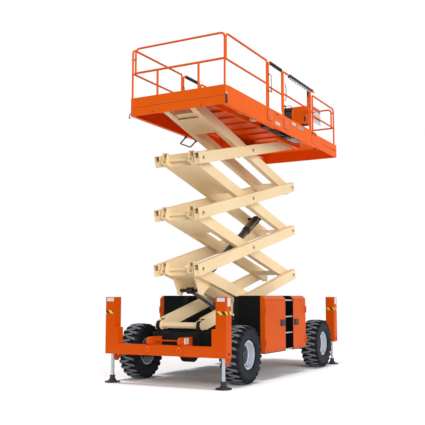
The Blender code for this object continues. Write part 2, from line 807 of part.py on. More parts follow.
def outrigger_frame(end):
    # end is -1 at the near end of the machine and 1 at the far end
    def ends(low, high):
        return sorted((end * low, end * high))
    near, far = ends(BEAM_IN_Y, BEAM_OUT_Y)
    reach = COLUMN_IN_X + COLUMN_WALL / 2
    solids = [box((-reach, near, BEAM_LOW), (reach, far, BEAM_TOP))]
    for side in (-1, 1):
        near, far = ends(COLUMN_IN_Y, BEAM_OUT_Y)
        solids.append(mirrored_box(
            side, (COLUMN_IN_X, near, BEAM_LOW), (COLUMN_OUT_X, far, COLUMN_TOP)))
        near, far = ends(BEAM_IN_Y + COLUMN_WALL, BEAM_OUT_Y - GAP)
        solids.append(mirrored_box(
            side, (COLUMN_IN_X - GUSSET_W, near, BEAM_TOP - SINK), (reach, far, BEAM_TOP + GUSSET_H)))
        solids.append(towing_block(side, end))
        solids.append(tie_down_lug(side, end))
    bar_y = end * (BEAM_OUT_Y + CHASSIS_END) / 2
    bar_half = BLOCK_IN + SINK
    solids.append(cross_pin(
        -bar_half, bar_half, bar_y, BEAM_TOP + BLOCK_R, SPREADER_R, 0, TUBE_SIDES))
    frame = fuse(solids)
    tools = []
    for side in (-1, 1):
        near, far = ends(COLUMN_IN_Y + COLUMN_WALL, BEAM_OUT_Y - COLUMN_WALL)
        tools.append(mirrored_box(
            side, (COLUMN_IN_X + COLUMN_WALL, near, BEAM_LOW + 2 * COLUMN_WALL),
            (COLUMN_OUT_X - COLUMN_WALL, far, COLUMN_TOP - COLUMN_WALL)))
        tools.append(rod(
            (side * COLUMN_X, end * COLUMN_Y, BEAM_LOW - 0.05),
            (side * COLUMN_X, end * COLUMN_Y, BEAM_LOW + 0.05), JACK_ROD_R + GAP))
    return cut(frame, tools)


def jack_leg(side, end):
    x = side * COLUMN_X
    y = end * COLUMN_Y
    solids = [rod((x, y, JACK_CONE_TOP - 0.015), (x, y, JACK_ROD_TOP), JACK_ROD_R)]
    solids.append(rod((x, y, 0.0), (x, y, JACK_PAD_T), JACK_PAD_R, 20))
    solids.append(rod(
        (x, y, JACK_PAD_T - CLEAR), (x, y, JACK_CONE_TOP), JACK_CONE_R, PIN_SIDES, end_radius=JACK_HUB_R))
    solids.append(rod((x, y, JACK_CONE_TOP - 0.01), (x, y, JACK_HUB_TOP), JACK_HUB_R))
    return fuse(solids)


# Hoods, their doors and what is inside them

def hinge_place(near, far, hinge_end):
    y = (near if hinge_end < 0 else far) + hinge_end * HINGE_SET
    return HOOD_OUT + HINGE_R + GAP, y


def hood(side):
    outline = [
        (HOOD_IN, HOOD_LOW), (HOOD_OUT, HOOD_LOW), (HOOD_OUT, HOOD_SHOULDER),
        (HOOD_OUT - HOOD_CHAMFER, HOOD_TOP), (HOOD_IN, HOOD_TOP)]
    body = plate(outline, "Y", (HOOD_NEAR + HOOD_FAR) / 2, HOOD_FAR - HOOD_NEAR)
    inner = HOOD_IN + HOOD_WALL
    outer = HOOD_OUT - HOOD_WALL
    floor = HOOD_LOW + HOOD_WALL
    ceiling = HOOD_TOP - HOOD_WALL
    room = [
        (inner, floor), (outer, floor), (outer, HOOD_SHOULDER - CLEAR),
        (HOOD_OUT - HOOD_CHAMFER - CLEAR, ceiling), (inner, ceiling)]
    tools = []
    for name, near, far, hinge_end in DOORS:
        low = near - DOOR_FRAME / 2
        high = far + DOOR_FRAME / 2
        tools.append(plate(room, "Y", (low + high) / 2, high - low))
        tools.append(box(
            (HOOD_OUT - DOOR_T - SINK, near, DOOR_LOW), (HOOD_OUT + DOOR_T, far, DOOR_TOP)))
    tools.append(box(
        (HOOD_OUT - LADDER_DEPTH, LADDER_NEAR, HOOD_LOW - SINK),
        (HOOD_OUT + SINK, LADDER_FAR, HOOD_TOP + SINK)))
    cut(body, tools)
    solids = [body]
    x = HOOD_OUT - RUNG_INSET
    near = LADDER_NEAR - HOOD_WALL / 2
    far = LADDER_FAR + HOOD_WALL / 2
    for z in RUNG_LEVELS:
        solids.append(rod((x, near, z), (x, far, z), RUNG_R, TUBE_SIDES))
    for name, near, far, hinge_end in DOORS:
        x, y = hinge_place(near, far, hinge_end)
        edges = sorted((y, y + hinge_end * (DOOR_FRAME / 2)))
        for z in HINGE_Z:
            low = z - KNUCKLE_H
            high = z - GAP
            solids.append(rod((x, y, low), (x, y, high), HINGE_R, TUBE_SIDES))
            solids.append(box((HOOD_OUT - CLEAR, edges[0], low), (x, edges[1], high)))
    shell = fuse(solids)
    return shell if side > 0 else replace_by_mirror(shell)


def replace_by_mirror(solid):
    twin = mirrored(solid)
    bpy.data.objects.remove(solid, do_unlink=True)
    return twin


def door(side, near, far, hinge_end):
    solids = [box(
        (HOOD_OUT - DOOR_T, near + DOOR_FIT, DOOR_LOW + DOOR_FIT),
        (HOOD_OUT, far - DOOR_FIT, DOOR_TOP - DOOR_FIT))]
    x, y = hinge_place(near, far, hinge_end)
    leaf = sorted((y, y - hinge_end * LEAF_LONG))
    root = sorted((y - hinge_end * LEAF_ROOT, y - hinge_end * LEAF_LONG))
    for z in HINGE_Z:
        high = z + KNUCKLE_H
        solids.append(rod((x, y, z), (x, y, high), HINGE_R, TUBE_SIDES))
        solids.append(box((HOOD_OUT + GAP, leaf[0], z), (x, leaf[1], high)))
        solids.append(box((HOOD_OUT - CLEAR, root[0], z), (x - CLEAR, root[1], high)))
    latch_edge = far - SINK if hinge_end < 0 else near + SINK
    latch = sorted((latch_edge, latch_edge + hinge_end * LATCH_LONG))
    solids.append(box(
        (HOOD_OUT - CLEAR, latch[0], LATCH_LOW), (HOOD_OUT + LATCH_T, latch[1], LATCH_TOP)))
    shell = fuse(solids)
    return shell if side > 0 else replace_by_mirror(shell)


def inner_block(side, near, far, top):
    low = HOOD_LOW + HOOD_WALL + GAP
    return mirrored_box(
        side, (HOOD_IN + ENGINE_ROOM, near, low), (HOOD_OUT - 2 * ENGINE_ROOM, far, top))


# Scissor arms

def level(i):
    return PIVOT_Z + (i - 1) * RISE


def arm_tube(side, x_in, low_u, high_u):
    # A hollow box section with open ends, along Y from low_u to high_u
    half = ARM_H / 2
    tube = mirrored_box(side, (x_in, low_u, -half), (x_in + ARM_W, high_u, half))
    way = mirrored_box(
        side, (x_in + ARM_WALL, low_u - 0.1, -half + ARM_WALL),
        (x_in + ARM_W - ARM_WALL, high_u + 0.1, half - ARM_WALL))
    return cut(tube, [way])


def bar_across(side, x_start, x_end, u, radius, turn=0.0, sides=PIN_SIDES):
    # A pin, boss or bore on one side of the machine, between two distances from its middle
    low, high = sorted((side * x_start, side * x_end))
    return cross_pin(low, high, u, 0, radius, turn, sides)


def round_end(side, x_in, u):
    return bar_across(side, x_in, x_in + ARM_W, u, ARM_H / 2, math.pi / ROUND_SIDES, ROUND_SIDES)


def collar(side, x_in, u, turn, inside):
    # The round boss on an arm's outer face, carried through the box section at its ends
    face = x_in + ARM_W
    start = x_in + ARM_WALL / 2 if inside else face - ARM_WALL / 2
    return bar_across(side, start, face + BOSS_STAND, u, BOSS_R, -turn)


def outer_arms(i):
    # From the near pivot of level i up to the far pivot of level i + 1
    turn = ARM_ANGLE
    first = i == 1
    last = i == STAGES
    low_u = FORK_TUBE_START if first else -ARM_TAIL
    high_u = ARM_LENGTH if last else ARM_LENGTH + ARM_TAIL
    shell = ARM_WALL / 2
    solids = []
    for side in (-1, 1):
        solids.append(arm_tube(side, OUTER_X, low_u, high_u))
        solids.append(collar(side, OUTER_X, ARM_LENGTH / 2, turn, False))
        stubs = (ARM_LENGTH / 2,) if last else (ARM_LENGTH / 2, ARM_LENGTH)
        for u in stubs:
            solids.append(bar_across(side, STUB_END, OUTER_X + shell, u, PIN_R, -turn))
        if first:
            for edge in (OUTER_X, OUTER_X + ARM_W - FORK_T):
                solids.append(bar_across(side, edge, edge + FORK_T, 0, FORK_R, 0, ROUND_SIDES))
                solids.append(mirrored_box(
                    side, (edge, 0.0, -FORK_R), (edge + FORK_T, low_u + 2 * SINK, FORK_R)))
        else:
            solids.append(collar(side, OUTER_X, 0, turn, True))
            solids.append(mirrored_box(
                side, (OUTER_X + shell, low_u + shell, ARM_LOW + shell),
                (OUTER_X + ARM_W - shell, low_u + shell + ARM_WALL, 0.0)))
        if last:
            solids.append(round_end(side, OUTER_X, ARM_LENGTH))
            solids.extend(roller(side, OUTER_X + ARM_W, ARM_LENGTH))
        else:
            solids.append(collar(side, OUTER_X, ARM_LENGTH, turn, True))
    shaft = OUTER_X + ARM_W - shell
    solids.append(cross_pin(-shaft, shaft, 0, 0, PIN_R, -turn))
    if first:
        solids.append(cross_pin(-OUTER_X - CLEAR, OUTER_X + CLEAR, 0, 0, SPACER_R))
    return turned(fuse(solids), turn, PIVOT_Y, level(i))


def roller(side, face, u):
    # A stub and its roller on the outside of an arm's sliding end
    stub = bar_across(side, face - CLEAR, ROLLER_IN + 2 * CLEAR, u, PIN_R)
    return [stub, bar_across(side, ROLLER_IN, ROLLER_OUT, u, ROLLER_R, 0, 16)]


def head_lug(side):
    # A side of the bracket under stage 1 that holds the lower cylinder's head
    u = LOWER_HEAD_U
    low = -LOWER_HEAD_DROP
    top = ARM_LOW + SINK
    outline = [
        (u - HEAD_LUG_SPREAD, top), (u - HEAD_LUG_HALF - SINK, low - SINK),
        (u - HEAD_LUG_HALF, low - HEAD_LUG_HALF), (u + HEAD_LUG_HALF, low - HEAD_LUG_HALF),
        (u + HEAD_LUG_HALF + SINK, low - SINK), (u + HEAD_LUG_SPREAD, top)]
    outer = INNER_X + BOSS_STAND
    return plate(outline, "X", side * (LUG_IN + outer) / 2, outer - LUG_IN)


def inner_arms(i):
    # From the near pivot of level i + 1 down to the far pivot of level i
    turn = -ARM_ANGLE
    first = i == 1
    last = i == STAGES
    low_u = 0.0 if last else -INNER_TAIL
    high_u = ARM_LENGTH if first else ARM_LENGTH + ARM_TAIL
    shell = ARM_WALL / 2
    inner_face = INNER_X - SINK
    outer_face = INNER_X + ARM_W + SINK
    solids = []
    bores = []
    for side in (-1, 1):
        solids.append(arm_tube(side, INNER_X, low_u, high_u))
        bores.append(arm_bore(side, STUB_END - CLEAR, outer_face, ARM_LENGTH / 2, turn))
        for u in (0, ARM_LENGTH):
            if (first and u == ARM_LENGTH) or (last and u == 0):
                solids.append(round_end(side, INNER_X, u))
            else:
                solids.append(bar_across(
                    side, INNER_X + shell, INNER_X + ARM_W - shell, u, BOSS_R, -turn))
            if first and u == ARM_LENGTH:
                solids.extend(roller(side, INNER_X + ARM_W, u))
            elif u == 0 and not last:
                bores.append(arm_bore(side, inner_face, outer_face, u, turn))
            else:
                bores.append(arm_bore(side, STUB_END - CLEAR, outer_face, u, turn))
    across = INNER_X + shell
    for near, far, (low, high) in INNER_MEMBERS[i]:
        solids.append(box((-across, near, low), (across, far, high)))
    for side in (-1, 1):
        if i == 1:
            solids.append(head_lug(side))
        if i == 3:
            solids.append(bar_across(side, LUG_IN, across, UPPER_HEAD_U, HEAD_BOSS_R))
    if i == 1:
        solids.append(cross_pin(-across, across, UPPER_BASE_U, 0, PIN_R))
    pair = cut(fuse(solids), bores)
    return turned(pair, turn, PIVOT_Y, level(i + 1))


def arm_bore(side, x_start, x_end, u, turn):
    return pin_bore(side * x_start, side * x_end, u, 0, turn)


# Lift cylinders

def on_inner_arm(i, u, w):
    # The place of a point u along and w above an inner arm of stage i
    c = math.cos(ARM_ANGLE)
    s = math.sin(ARM_ANGLE)
    return Vector((0, PIVOT_Y + u * c + w * s, level(i + 1) - u * s + w * c))


def lower_pins():
    return Vector((0, LOWER_BASE_Y, LOWER_BASE_Z)), on_inner_arm(1, LOWER_HEAD_U, -LOWER_HEAD_DROP)


def upper_pins():
    return on_inner_arm(1, UPPER_BASE_U, 0), on_inner_arm(3, UPPER_HEAD_U, 0)


def barrel(base, head, length, pin_turn):
    way = (head - base).normalized()
    turn = math.atan2(way.z, way.y) + math.pi / ROUND_SIDES
    eye = BASE_EYE_HALF
    neck_end = GLAND_LONG + 2 * SINK
    shell = fuse([
        rod(base + way * GLAND_LONG, base + way * length, BARREL_R, ROUND_SIDES),
        rod(base + way * (length - GLAND_LONG), base + way * (length + CLEAR), GLAND_R, ROUND_SIDES),
        rod(base + way * SINK, base + way * neck_end, NECK_BAR_R),
        cross_pin(-eye, eye, base.y, base.z, BASE_EYE_R, turn, ROUND_SIDES)])
    bore = rod(base + way * (neck_end + SINK), base + way * (length + SINK), CYL_ROD_R + GAP)
    return cut(shell, [bore, pin_bore(-2 * eye, 2 * eye, base.y, base.z, -pin_turn)])


def cylinder_rod(base, head, length):
    way = (head - base).normalized()
    solid = rod(head - way * length, head, CYL_ROD_R)
    pin = cross_pin(-HEAD_HALF, HEAD_HALF, head.y, head.z, PIN_R)
    eye = cross_pin(-HEAD_EYE_HALF, HEAD_EYE_HALF, head.y, head.z, HEAD_EYE_R, 0, 16)
    return fuse([solid, pin, eye])


# Platform

def deck_frame():
    sink = CLEAR
    extension_room = EXT_BOARD_IN - CLEAR
    solids = [
        box((-DECK_X, DECK_NEAR, FLOOR_LOW), (DECK_X, SLOT_Y, TOP_OF_FLOOR)),
        box((-extension_room, SLOT_Y - SINK, FLOOR_LOW), (extension_room, DECK_FAR, TOP_OF_FLOOR)),
        box((-DECK_X, DECK_NEAR, DECK_LOW), (DECK_X, DECK_NEAR + BOARD_T, DECK_TOP))]
    for side in (-1, 1):
        solids.append(mirrored_box(
            side, (DECK_X - BOARD_T, DECK_NEAR, DECK_LOW), (DECK_X, DECK_FAR, DECK_TOP)))
        solids.append(mirrored_box(
            side, (DECK_X - FLANGE_W, DECK_NEAR, DECK_LOW), (DECK_X, SLOT_Y, DECK_LOW + BOARD_T)))
        solids.append(mirrored_box(
            side, (DECK_X - sink, STEP_PLATE_NEAR, DECK_LOW + SINK),
            (DECK_X + STEP_PLATE_T, STEP_PLATE_FAR, DECK_TOP - SINK)))
        solids.extend(roller_channel(side, DECK_PIVOT_Z, None, FLOOR_LOW + sink))
        mid = OUTER_X + DECK_EAR_T * 0.8
        ear = arc((PIVOT_Y, DECK_PIVOT_Z), DECK_EAR_R, 180, 360, 8)
        half = DECK_EAR_R + DECK_EAR_T
        ear += [(PIVOT_Y + half, FLOOR_LOW + sink), (PIVOT_Y - half, FLOOR_LOW + sink)]
        solids.append(plate(ear, "X", side * mid, DECK_EAR_T))
        ends = sorted((side * STUB_END, side * mid))
        solids.append(cross_pin(ends[0], ends[1], PIVOT_Y, DECK_PIVOT_Z, PIN_R))
    for y in RIBS:
        reach = DECK_X - sink if y < SLOT_Y - RIB_W else extension_room
        solids.append(box(
            (-reach, y - RIB_W / 2, FLOOR_LOW - RIB_H), (reach, y + RIB_W / 2, FLOOR_LOW + sink)))
    return fuse(solids)


def base_strip(side):
    return mirrored_box(
        side, (RAIL_X - TUBE_R, STRIP_NEAR, DECK_TOP + GAP), (DECK_X, STRIP_FAR, STRIP_TOP))


def rail_bar(start, end):
    return rod(start, end, TUBE_R, TUBE_SIDES)


def side_rail(side):
    # On the left the near post is the long one of its corner, on the right the short one
    x = side * RAIL_X
    near = DECK_NEAR + TUBE_R
    foot = DECK_TOP + GAP
    if side > 0:
        near += POST_STEP
        foot = MID_RAIL
    seat = STRIP_TOP - STRIP_H / 2
    gate_near = GATE_NEAR - TUBE_R
    gate_far = GATE_FAR + TUBE_R
    near_run = [
        ((x, near, foot), 0), ((x, near, TOP_RAIL), RAIL_BEND),
        ((x, gate_near, TOP_RAIL), TIGHT_BEND), ((x, gate_near, seat), 0)]
    far_run = [
        ((x, gate_far, seat), 0), ((x, gate_far, TOP_RAIL), TIGHT_BEND), ((x, RAIL_FAR, TOP_RAIL), 0)]
    post = TUBE_R - GAP
    return fuse([
        base_strip(side), bent_tube(bends(near_run)), bent_tube(bends(far_run)),
        rail_bar((x, near, MID_RAIL), (x, gate_near, MID_RAIL)),
        rail_bar((x, gate_far, MID_RAIL), (x, RAIL_FAR, MID_RAIL)),
        mirrored_box(
            side, (RAIL_X - post, WIDE_POST_Y - WIDE_POST_HALF, seat),
            (RAIL_X + post, WIDE_POST_Y + WIDE_POST_HALF, TOP_RAIL))])


def rear_rail():
    # Its left post ends at the middle bar, beside the left rail's long corner post
    y = DECK_NEAR + TUBE_R
    foot = DECK_TOP + GAP
    short = -RAIL_X + END_STEP
    frame = [
        ((short, y, MID_RAIL), 0), ((short, y, TOP_RAIL), RAIL_BEND),
        ((RAIL_X, y, TOP_RAIL), RAIL_BEND), ((RAIL_X, y, foot), 0)]
    solids = [bent_tube(bends(frame)), rail_bar((short, y, MID_RAIL), (RAIL_X, y, MID_RAIL))]
    for x in SHORT_POSTS:
        solids.append(rail_bar((x, y, foot), (x, y, MID_RAIL)))
    return fuse(solids)


def gate(side):
    x = side * RAIL_X
    hinge_y = GATE_NEAR + 2 * TUBE_R + CLEAR
    free_y = GATE_FAR - TUBE_R - GATE_PLAY
    top = TOP_RAIL - TUBE_R
    middle = MID_RAIL - GATE_DROP
    frame = [
        ((x, hinge_y, STRIP_TOP + GAP), 0), ((x, hinge_y, top), TIGHT_BEND),
        ((x, free_y, top), TIGHT_BEND), ((x, free_y, DECK_TOP + GATE_FOOT), 0)]
    return fuse([bent_tube(bends(frame)), rail_bar((x, hinge_y, middle), (x, free_y, middle))])


def gate_hinge(side):
    return (side * RAIL_X, GATE_NEAR + 2 * TUBE_R + CLEAR, MID_RAIL)


def extension_deck():
    solids = [box(
        (-EXT_BOARD_OUT, EXT_NEAR, TOP_OF_FLOOR + GAP), (EXT_BOARD_OUT, EXT_FAR - SINK, EXT_FLOOR_TOP))]
    slots = []
    slot_top = EXT_TOP - EXT_SLOT_DROP
    for side in (-1, 1):
        solids.append(mirrored_box(
            side, (EXT_BOARD_IN, EXT_NEAR, EXT_LOW), (EXT_BOARD_OUT, EXT_FAR, EXT_TOP)))
        slots.append(mirrored_box(
            side, (EXT_BOARD_IN - CLEAR, EXT_SLOT_NEAR, slot_top - EXT_SLOT_H),
            (EXT_BOARD_OUT + CLEAR, EXT_FAR - EXT_END_T - CLEAR, slot_top)))
    solids.append(box(
        (-EXT_BOARD_OUT, EXT_FAR - EXT_END_T, EXT_LOW), (EXT_BOARD_OUT, EXT_FAR, EXT_TOP)))
    return cut(fuse(solids), slots)


def extension_rail():
    # Two side frames and an end frame between them, whose short posts are clamped to the long
    near = DECK_FAR - EXT_RAIL_BACK + TUBE_R
    far = EXT_FAR - TUBE_R
    foot = EXT_FLOOR_TOP + GAP
    top = EXT_TOP_RAIL
    middle = EXT_MID_RAIL
    short = EXT_RAIL_X - EXT_STEP
    clamp_top = top - RAIL_BEND
    half = TUBE_R - CLEAR
    solids = []
    for side in (-1, 1):
        x = side * EXT_RAIL_X
        frame = [
            ((x, near, foot), 0), ((x, near, top), TIGHT_BEND), ((x, far, top), RAIL_BEND),
            ((x, far, EXT_TOP + GAP), 0)]
        solids.append(bent_tube(bends(frame)))
        solids.append(rail_bar((x, near, middle), (x, far, middle)))
        solids.append(mirrored_box(
            side, (short, far - half, clamp_top - CLAMP_H), (EXT_RAIL_X, far + half, clamp_top)))
    frame = [
        ((-short, far, middle), 0), ((-short, far, top), RAIL_BEND), ((short, far, top), RAIL_BEND),
        ((short, far, middle), 0)]
    solids.append(bent_tube(bends(frame)))
    solids.append(rail_bar((-EXT_RAIL_X, far, middle), (EXT_RAIL_X, far, middle)))
    return fuse(solids)


def control_box():
    # The box, its controller with a sloping face, and the plate it hangs by on the top rail
    near, far = PANEL_Y
    low = DECK_TOP + PANEL_Z[0]
    high = DECK_TOP + PANEL_Z[1]
    face = [(near, low), (far, low), (far, high), (near + PANEL_SLOPE, high), (near, high - PANEL_SLOPE)]
    hang = TOP_RAIL + TUBE_FLAT + GAP
    inner = BOX_X[1] - HANGER_T
    return fuse([
        box((BOX_X[0], BOX_Y[0], DECK_TOP + BOX_Z[0]), (BOX_X[1], BOX_Y[1], DECK_TOP + BOX_Z[1])),
        plate(face, "X", (PANEL_X[0] + PANEL_X[1]) / 2, PANEL_X[1] - PANEL_X[0]),
        box((inner, HANGER_Y[0], DECK_TOP + BOX_Z[1] - SINK), (BOX_X[1], HANGER_Y[1], hang + HANGER_T)),
        box((inner, HANGER_Y[0], hang), (DECK_X, HANGER_Y[1], hang + HANGER_T))])


def entry_step():
    # A loop of tube that slants out from two feet under the left board
    x = SINK - DECK_X
    top = DECK_LOW - GAP
    root = top - STEP_R
    outer = x - STEP_OUT
    low = root - STEP_DROP
    foot = top - 2 * STEP_R
    near, far = STEP_Y
    loop = [
        ((x, near, root), 0), ((outer, near, low), TIGHT_BEND), ((outer, far, low), TIGHT_BEND),
        ((x, far, root), 0)]
    solids = [bent_tube(bends(loop), STEP_R)]
    for y in STEP_Y:
        solids.append(box((x - SINK, y - SINK, foot), (x + SINK, y + SINK, top)))
    return fuse(solids)


def build():
    add_body("chassis", None, (0, 0, 0))
    add_node("chassis_frame", "chassis", chassis_frame(), "black")
    add_node("rear_axle", "chassis", axle(-AXLE_Y, False), "black")
    add_node("front_axle", "chassis", axle(AXLE_Y, True), "black")
    add_node("rear_outrigger_frame", "chassis", outrigger_frame(-1), "orange")
    add_node("front_outrigger_frame", "chassis", outrigger_frame(1), "orange")
    for side, word in ((-1, "left"), (1, "right")):
        add_node(word + "_hood", "chassis", hood(side), "orange")
        for name, near, far, hinge_end in DOORS:
            x, y = hinge_place(near, far, hinge_end)
            body = word + "_" + name + "_door"
            add_body(body, "chassis", (side * x, y, HINGE_Z[0]))
            add_node(body + "_panel", body, door(side, near, far, hinge_end), "orange")
        add_body("knuckle_" + word, "chassis", (side * KINGPIN_X, AXLE_Y, TYRE_R))
        add_node("steering_knuckle_" + word, "knuckle_" + word, knuckle(side), "black")
        for end, place in ((-1, "rear"), (1, "front")):
            body = "jack_" + place + "_" + word
            add_body(body, "chassis", (side * COLUMN_X, end * COLUMN_Y, 0))
            add_node("jack_leg_" + place + "_" + word, body, jack_leg(side, end), "steel")
    add_node("engine_block", "chassis", inner_block(-1, *ENGINE), "engine")
    add_node("hydraulic_tank", "chassis", inner_block(1, *TANK), "black")
    wheels()
    near = PIVOT_Y
    far = PIVOT_Y + SPAN
    middle = PIVOT_Y + SPAN / 2
    # body, parent, pivot y, pivot level
    stack = [
        ("outer_1", "chassis", near, 1), ("inner_1", "outer_1", middle, 1.5),
        ("inner_2", "outer_1", far, 2), ("outer_2", "inner_2", middle, 2.5),
        ("outer_3", "inner_2", near, 3), ("inner_3", "outer_3", middle, 3.5),
        ("inner_4", "outer_3", far, 4), ("outer_4", "inner_4", middle, 4.5)]
    for body, parent, y, step in stack:
        add_body(body, parent, (0, y, level(step)))
        pair, stage = body.split("_")
        solid = outer_arms(int(stage)) if pair == "outer" else inner_arms(int(stage))
        add_node(pair + "_arms_stage_" + stage, body, solid, "cream")
    # word, carrier, its two pins, barrel length, rod length, turn of the base pin
    cylinders = [
        ("lower", "chassis", lower_pins(), LOWER_BARREL, LOWER_ROD, 0.0),
        ("upper", "inner_1", upper_pins(), UPPER_BARREL, UPPER_ROD, -ARM_ANGLE)]
    for word, parent, pins, shell, inner, pin_turn in cylinders:
        base, head = pins
        add_body(word + "_barrel", parent, base)
        solid = barrel(base, head, shell, pin_turn)
        add_node(word + "_cylinder_barrel", word + "_barrel", solid, "barrel")
        add_body(word + "_rod", word + "_barrel", head)
        add_node(word + "_cylinder_rod", word + "_rod", cylinder_rod(base, head, inner), "chrome")
    add_body("platform", "inner_4", (0, near, DECK_PIVOT_Z))
    add_node("deck_frame", "platform", deck_frame(), "orange")
    add_node("rear_rail", "platform", rear_rail(), "orange")
    for side, word in ((-1, "left"), (1, "right")):
        add_node(word + "_rail", "platform", side_rail(side), "orange")
        add_body(word + "_gate", "platform", gate_hinge(side))
        add_node(word + "_gate_frame", word + "_gate", gate(side), "orange")
    add_node("control_box", "platform", control_box(), "orange")
    add_node("entry_step", "platform", entry_step(), "black")
    add_body("extension", "platform", (0, DECK_FAR, TOP_OF_FLOOR))
    add_node("extension_deck", "extension", extension_deck(), "orange")
    add_node("extension_rail", "extension", extension_rail(), "orange")


clear_scene()
parts = new_collection("scissor_lift")
cutters = new_collection("cutters")
build()
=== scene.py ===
import math

import bmesh
import bpy
from mathutils import Matrix, Vector


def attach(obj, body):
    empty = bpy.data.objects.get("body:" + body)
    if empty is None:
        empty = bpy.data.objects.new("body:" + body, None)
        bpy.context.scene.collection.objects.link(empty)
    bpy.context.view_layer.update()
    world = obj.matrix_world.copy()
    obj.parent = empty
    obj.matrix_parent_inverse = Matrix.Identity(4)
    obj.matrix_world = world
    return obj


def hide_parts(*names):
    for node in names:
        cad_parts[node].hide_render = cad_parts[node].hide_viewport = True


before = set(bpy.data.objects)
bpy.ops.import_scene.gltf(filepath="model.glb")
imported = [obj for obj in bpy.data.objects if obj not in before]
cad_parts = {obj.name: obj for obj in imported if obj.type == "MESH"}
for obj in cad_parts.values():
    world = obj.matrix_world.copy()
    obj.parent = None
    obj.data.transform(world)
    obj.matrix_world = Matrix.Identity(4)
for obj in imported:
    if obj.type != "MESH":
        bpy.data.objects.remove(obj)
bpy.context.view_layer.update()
print("frame loaded:", len(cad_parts), "CAD nodes")

# Shared sizes of the machine in metres; its own frame has Y = 0 in the middle of the wheelbase
lift = {
    "shiftY": -0.392,        # from the middle of the wheelbase to the row frame
    "tyreR": 0.47, "tyreHalf": 0.175, "axleY": 1.71, "wheelX": 0.97, "columnOut": 1.13,
    "hoodIn": 0.56, "hoodOut": 1.064, "hoodNear": -0.97, "hoodFar": 0.9,
    "ladderNear": -0.085, "ladderFar": 0.28, "deckX": 0.932, "deckNear": -2.166, "railX": 0.913,
    "pivotY": -2.02, "pivotZ": 0.932, "armLength": 3.96, "armAngle": math.radians(13.5), "outerFace": 0.435,
}


def rowY(y):
    return y + lift["shiftY"]


def machine(x, y, z):
    # a point given in the machine's own frame, in the row frame
    return Vector((x, rowY(y), z))


def machineRun(*points):
    return [machine(*point) for point in points]


# shared mesh helpers

def keepPiece(name, bm, material, body, sharp=35):
    bmesh.ops.recalc_face_normals(bm, faces=bm.faces)
    mesh = bpy.data.meshes.new(name)
    bm.to_mesh(mesh)
    bm.free()
    mesh.materials.append(material)
    mesh.shade_smooth()
    mesh.set_sharp_from_angle(angle=math.radians(sharp))
    piece = bpy.data.objects.new(name, mesh)
    bpy.context.scene.collection.objects.link(piece)
    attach(piece, body)
    return piece


def addBlock(bm, low, high, bevel=0.0, steps=1):
    low, high = Vector(low), Vector(high)
    made = bmesh.ops.create_cube(bm, size=1.0)["verts"]
    bmesh.ops.scale(bm, vec=high - low, verts=made)
    bmesh.ops.translate(bm, vec=(low + high) / 2, verts=made)
    if bevel:
        edges = list({e for v in made for e in v.link_edges})
        bmesh.ops.bevel(bm, geom=edges, offset=bevel, segments=steps, profile=0.5,
                        affect="EDGES", material=-1)


def addBlocks(bm, blocks, side=1, bevel=0.0, steps=1):
    # each block is low and high corner on the right, in the machine's own frame, then its own bevel and steps
    for low, high, *own in blocks:
        xs = sorted((side * low[0], side * high[0]))
        addBlock(bm, machine(xs[0], *low[1:]), machine(xs[1], *high[1:]), *(own or (bevel, steps)))


def blockPiece(name, blocks, material, body, side=1, bevel=0.0, steps=1):
    bm = bmesh.new()
    addBlocks(bm, blocks, side, bevel, steps)
    return keepPiece(name, bm, material, body)


def addRound(bm, start, end, radius, sides=16, tip=None, bevel=0.0):
    start, end = Vector(start), Vector(end)
    made = bmesh.ops.create_cone(
        bm, cap_ends=True, segments=sides, radius1=radius, radius2=radius if tip is None else tip,
        depth=(end - start).length)["verts"]
    aim = Vector((0, 0, 1)).rotation_difference(end - start).to_matrix().to_4x4()
    bmesh.ops.transform(bm, matrix=Matrix.Translation((start + end) / 2) @ aim, verts=made)
    if bevel:
        rims = list({e for v in made for e in v.link_edges if len(e.link_faces) == 2
                     and any(len(f.verts) == sides for f in e.link_faces)})
        bmesh.ops.bevel(bm, geom=rims, offset=bevel, segments=2, profile=0.5,
                        affect="EDGES", material=-1)


def addBolt(bm, place, out, size=0.012, height=0.008):
    # a washer with a hexagon head, standing out of a face along out
    place, out = Vector(place), Vector(out).normalized()
    addRound(bm, place - out * 0.001, place + out * 0.0025, size * 1.35, 14)
    addRound(bm, place + out * 0.002, place + out * height, size, 6, tip=size * 0.93)


def addSpun(bm, start, out, outline, sides=20):
    # a turned shape: outline gives distance along out and radius, from end to end
    out = Vector(out).normalized()
    start = Vector(start)
    across = out.orthogonal().normalized()
    places = [start + out * along + across * radius for along, radius in outline]
    verts = [bm.verts.new(place) for place in places]
    following = verts[1:] + verts[:1] if outline[0][1] else verts[1:]    # a ring is closed on its inside
    edges = [bm.edges.new(pair) for pair in zip(verts, following)]
    bmesh.ops.spin(bm, geom=verts + edges, cent=start, axis=out, angle=math.tau, steps=sides, use_merge=True)
    bmesh.ops.remove_doubles(bm, verts=bm.verts, dist=0.00001)


def turnedPiece(name, start, out, outline, sides, material, body, sharp=35):
    bm = bmesh.new()
    addSpun(bm, start, out, outline, sides)
    return keepPiece(name, bm, material, body, sharp)


def circleRun(centre, radius, steps, across):
    # the points of an upright ring, from its top round to its top
    across, up = Vector(across), Vector((0, 0, 1))
    turns = [math.tau * step / steps for step in range(steps + 1)]
    return [centre + across * (math.sin(turn) * radius) + up * (math.cos(turn) * radius) for turn in turns]


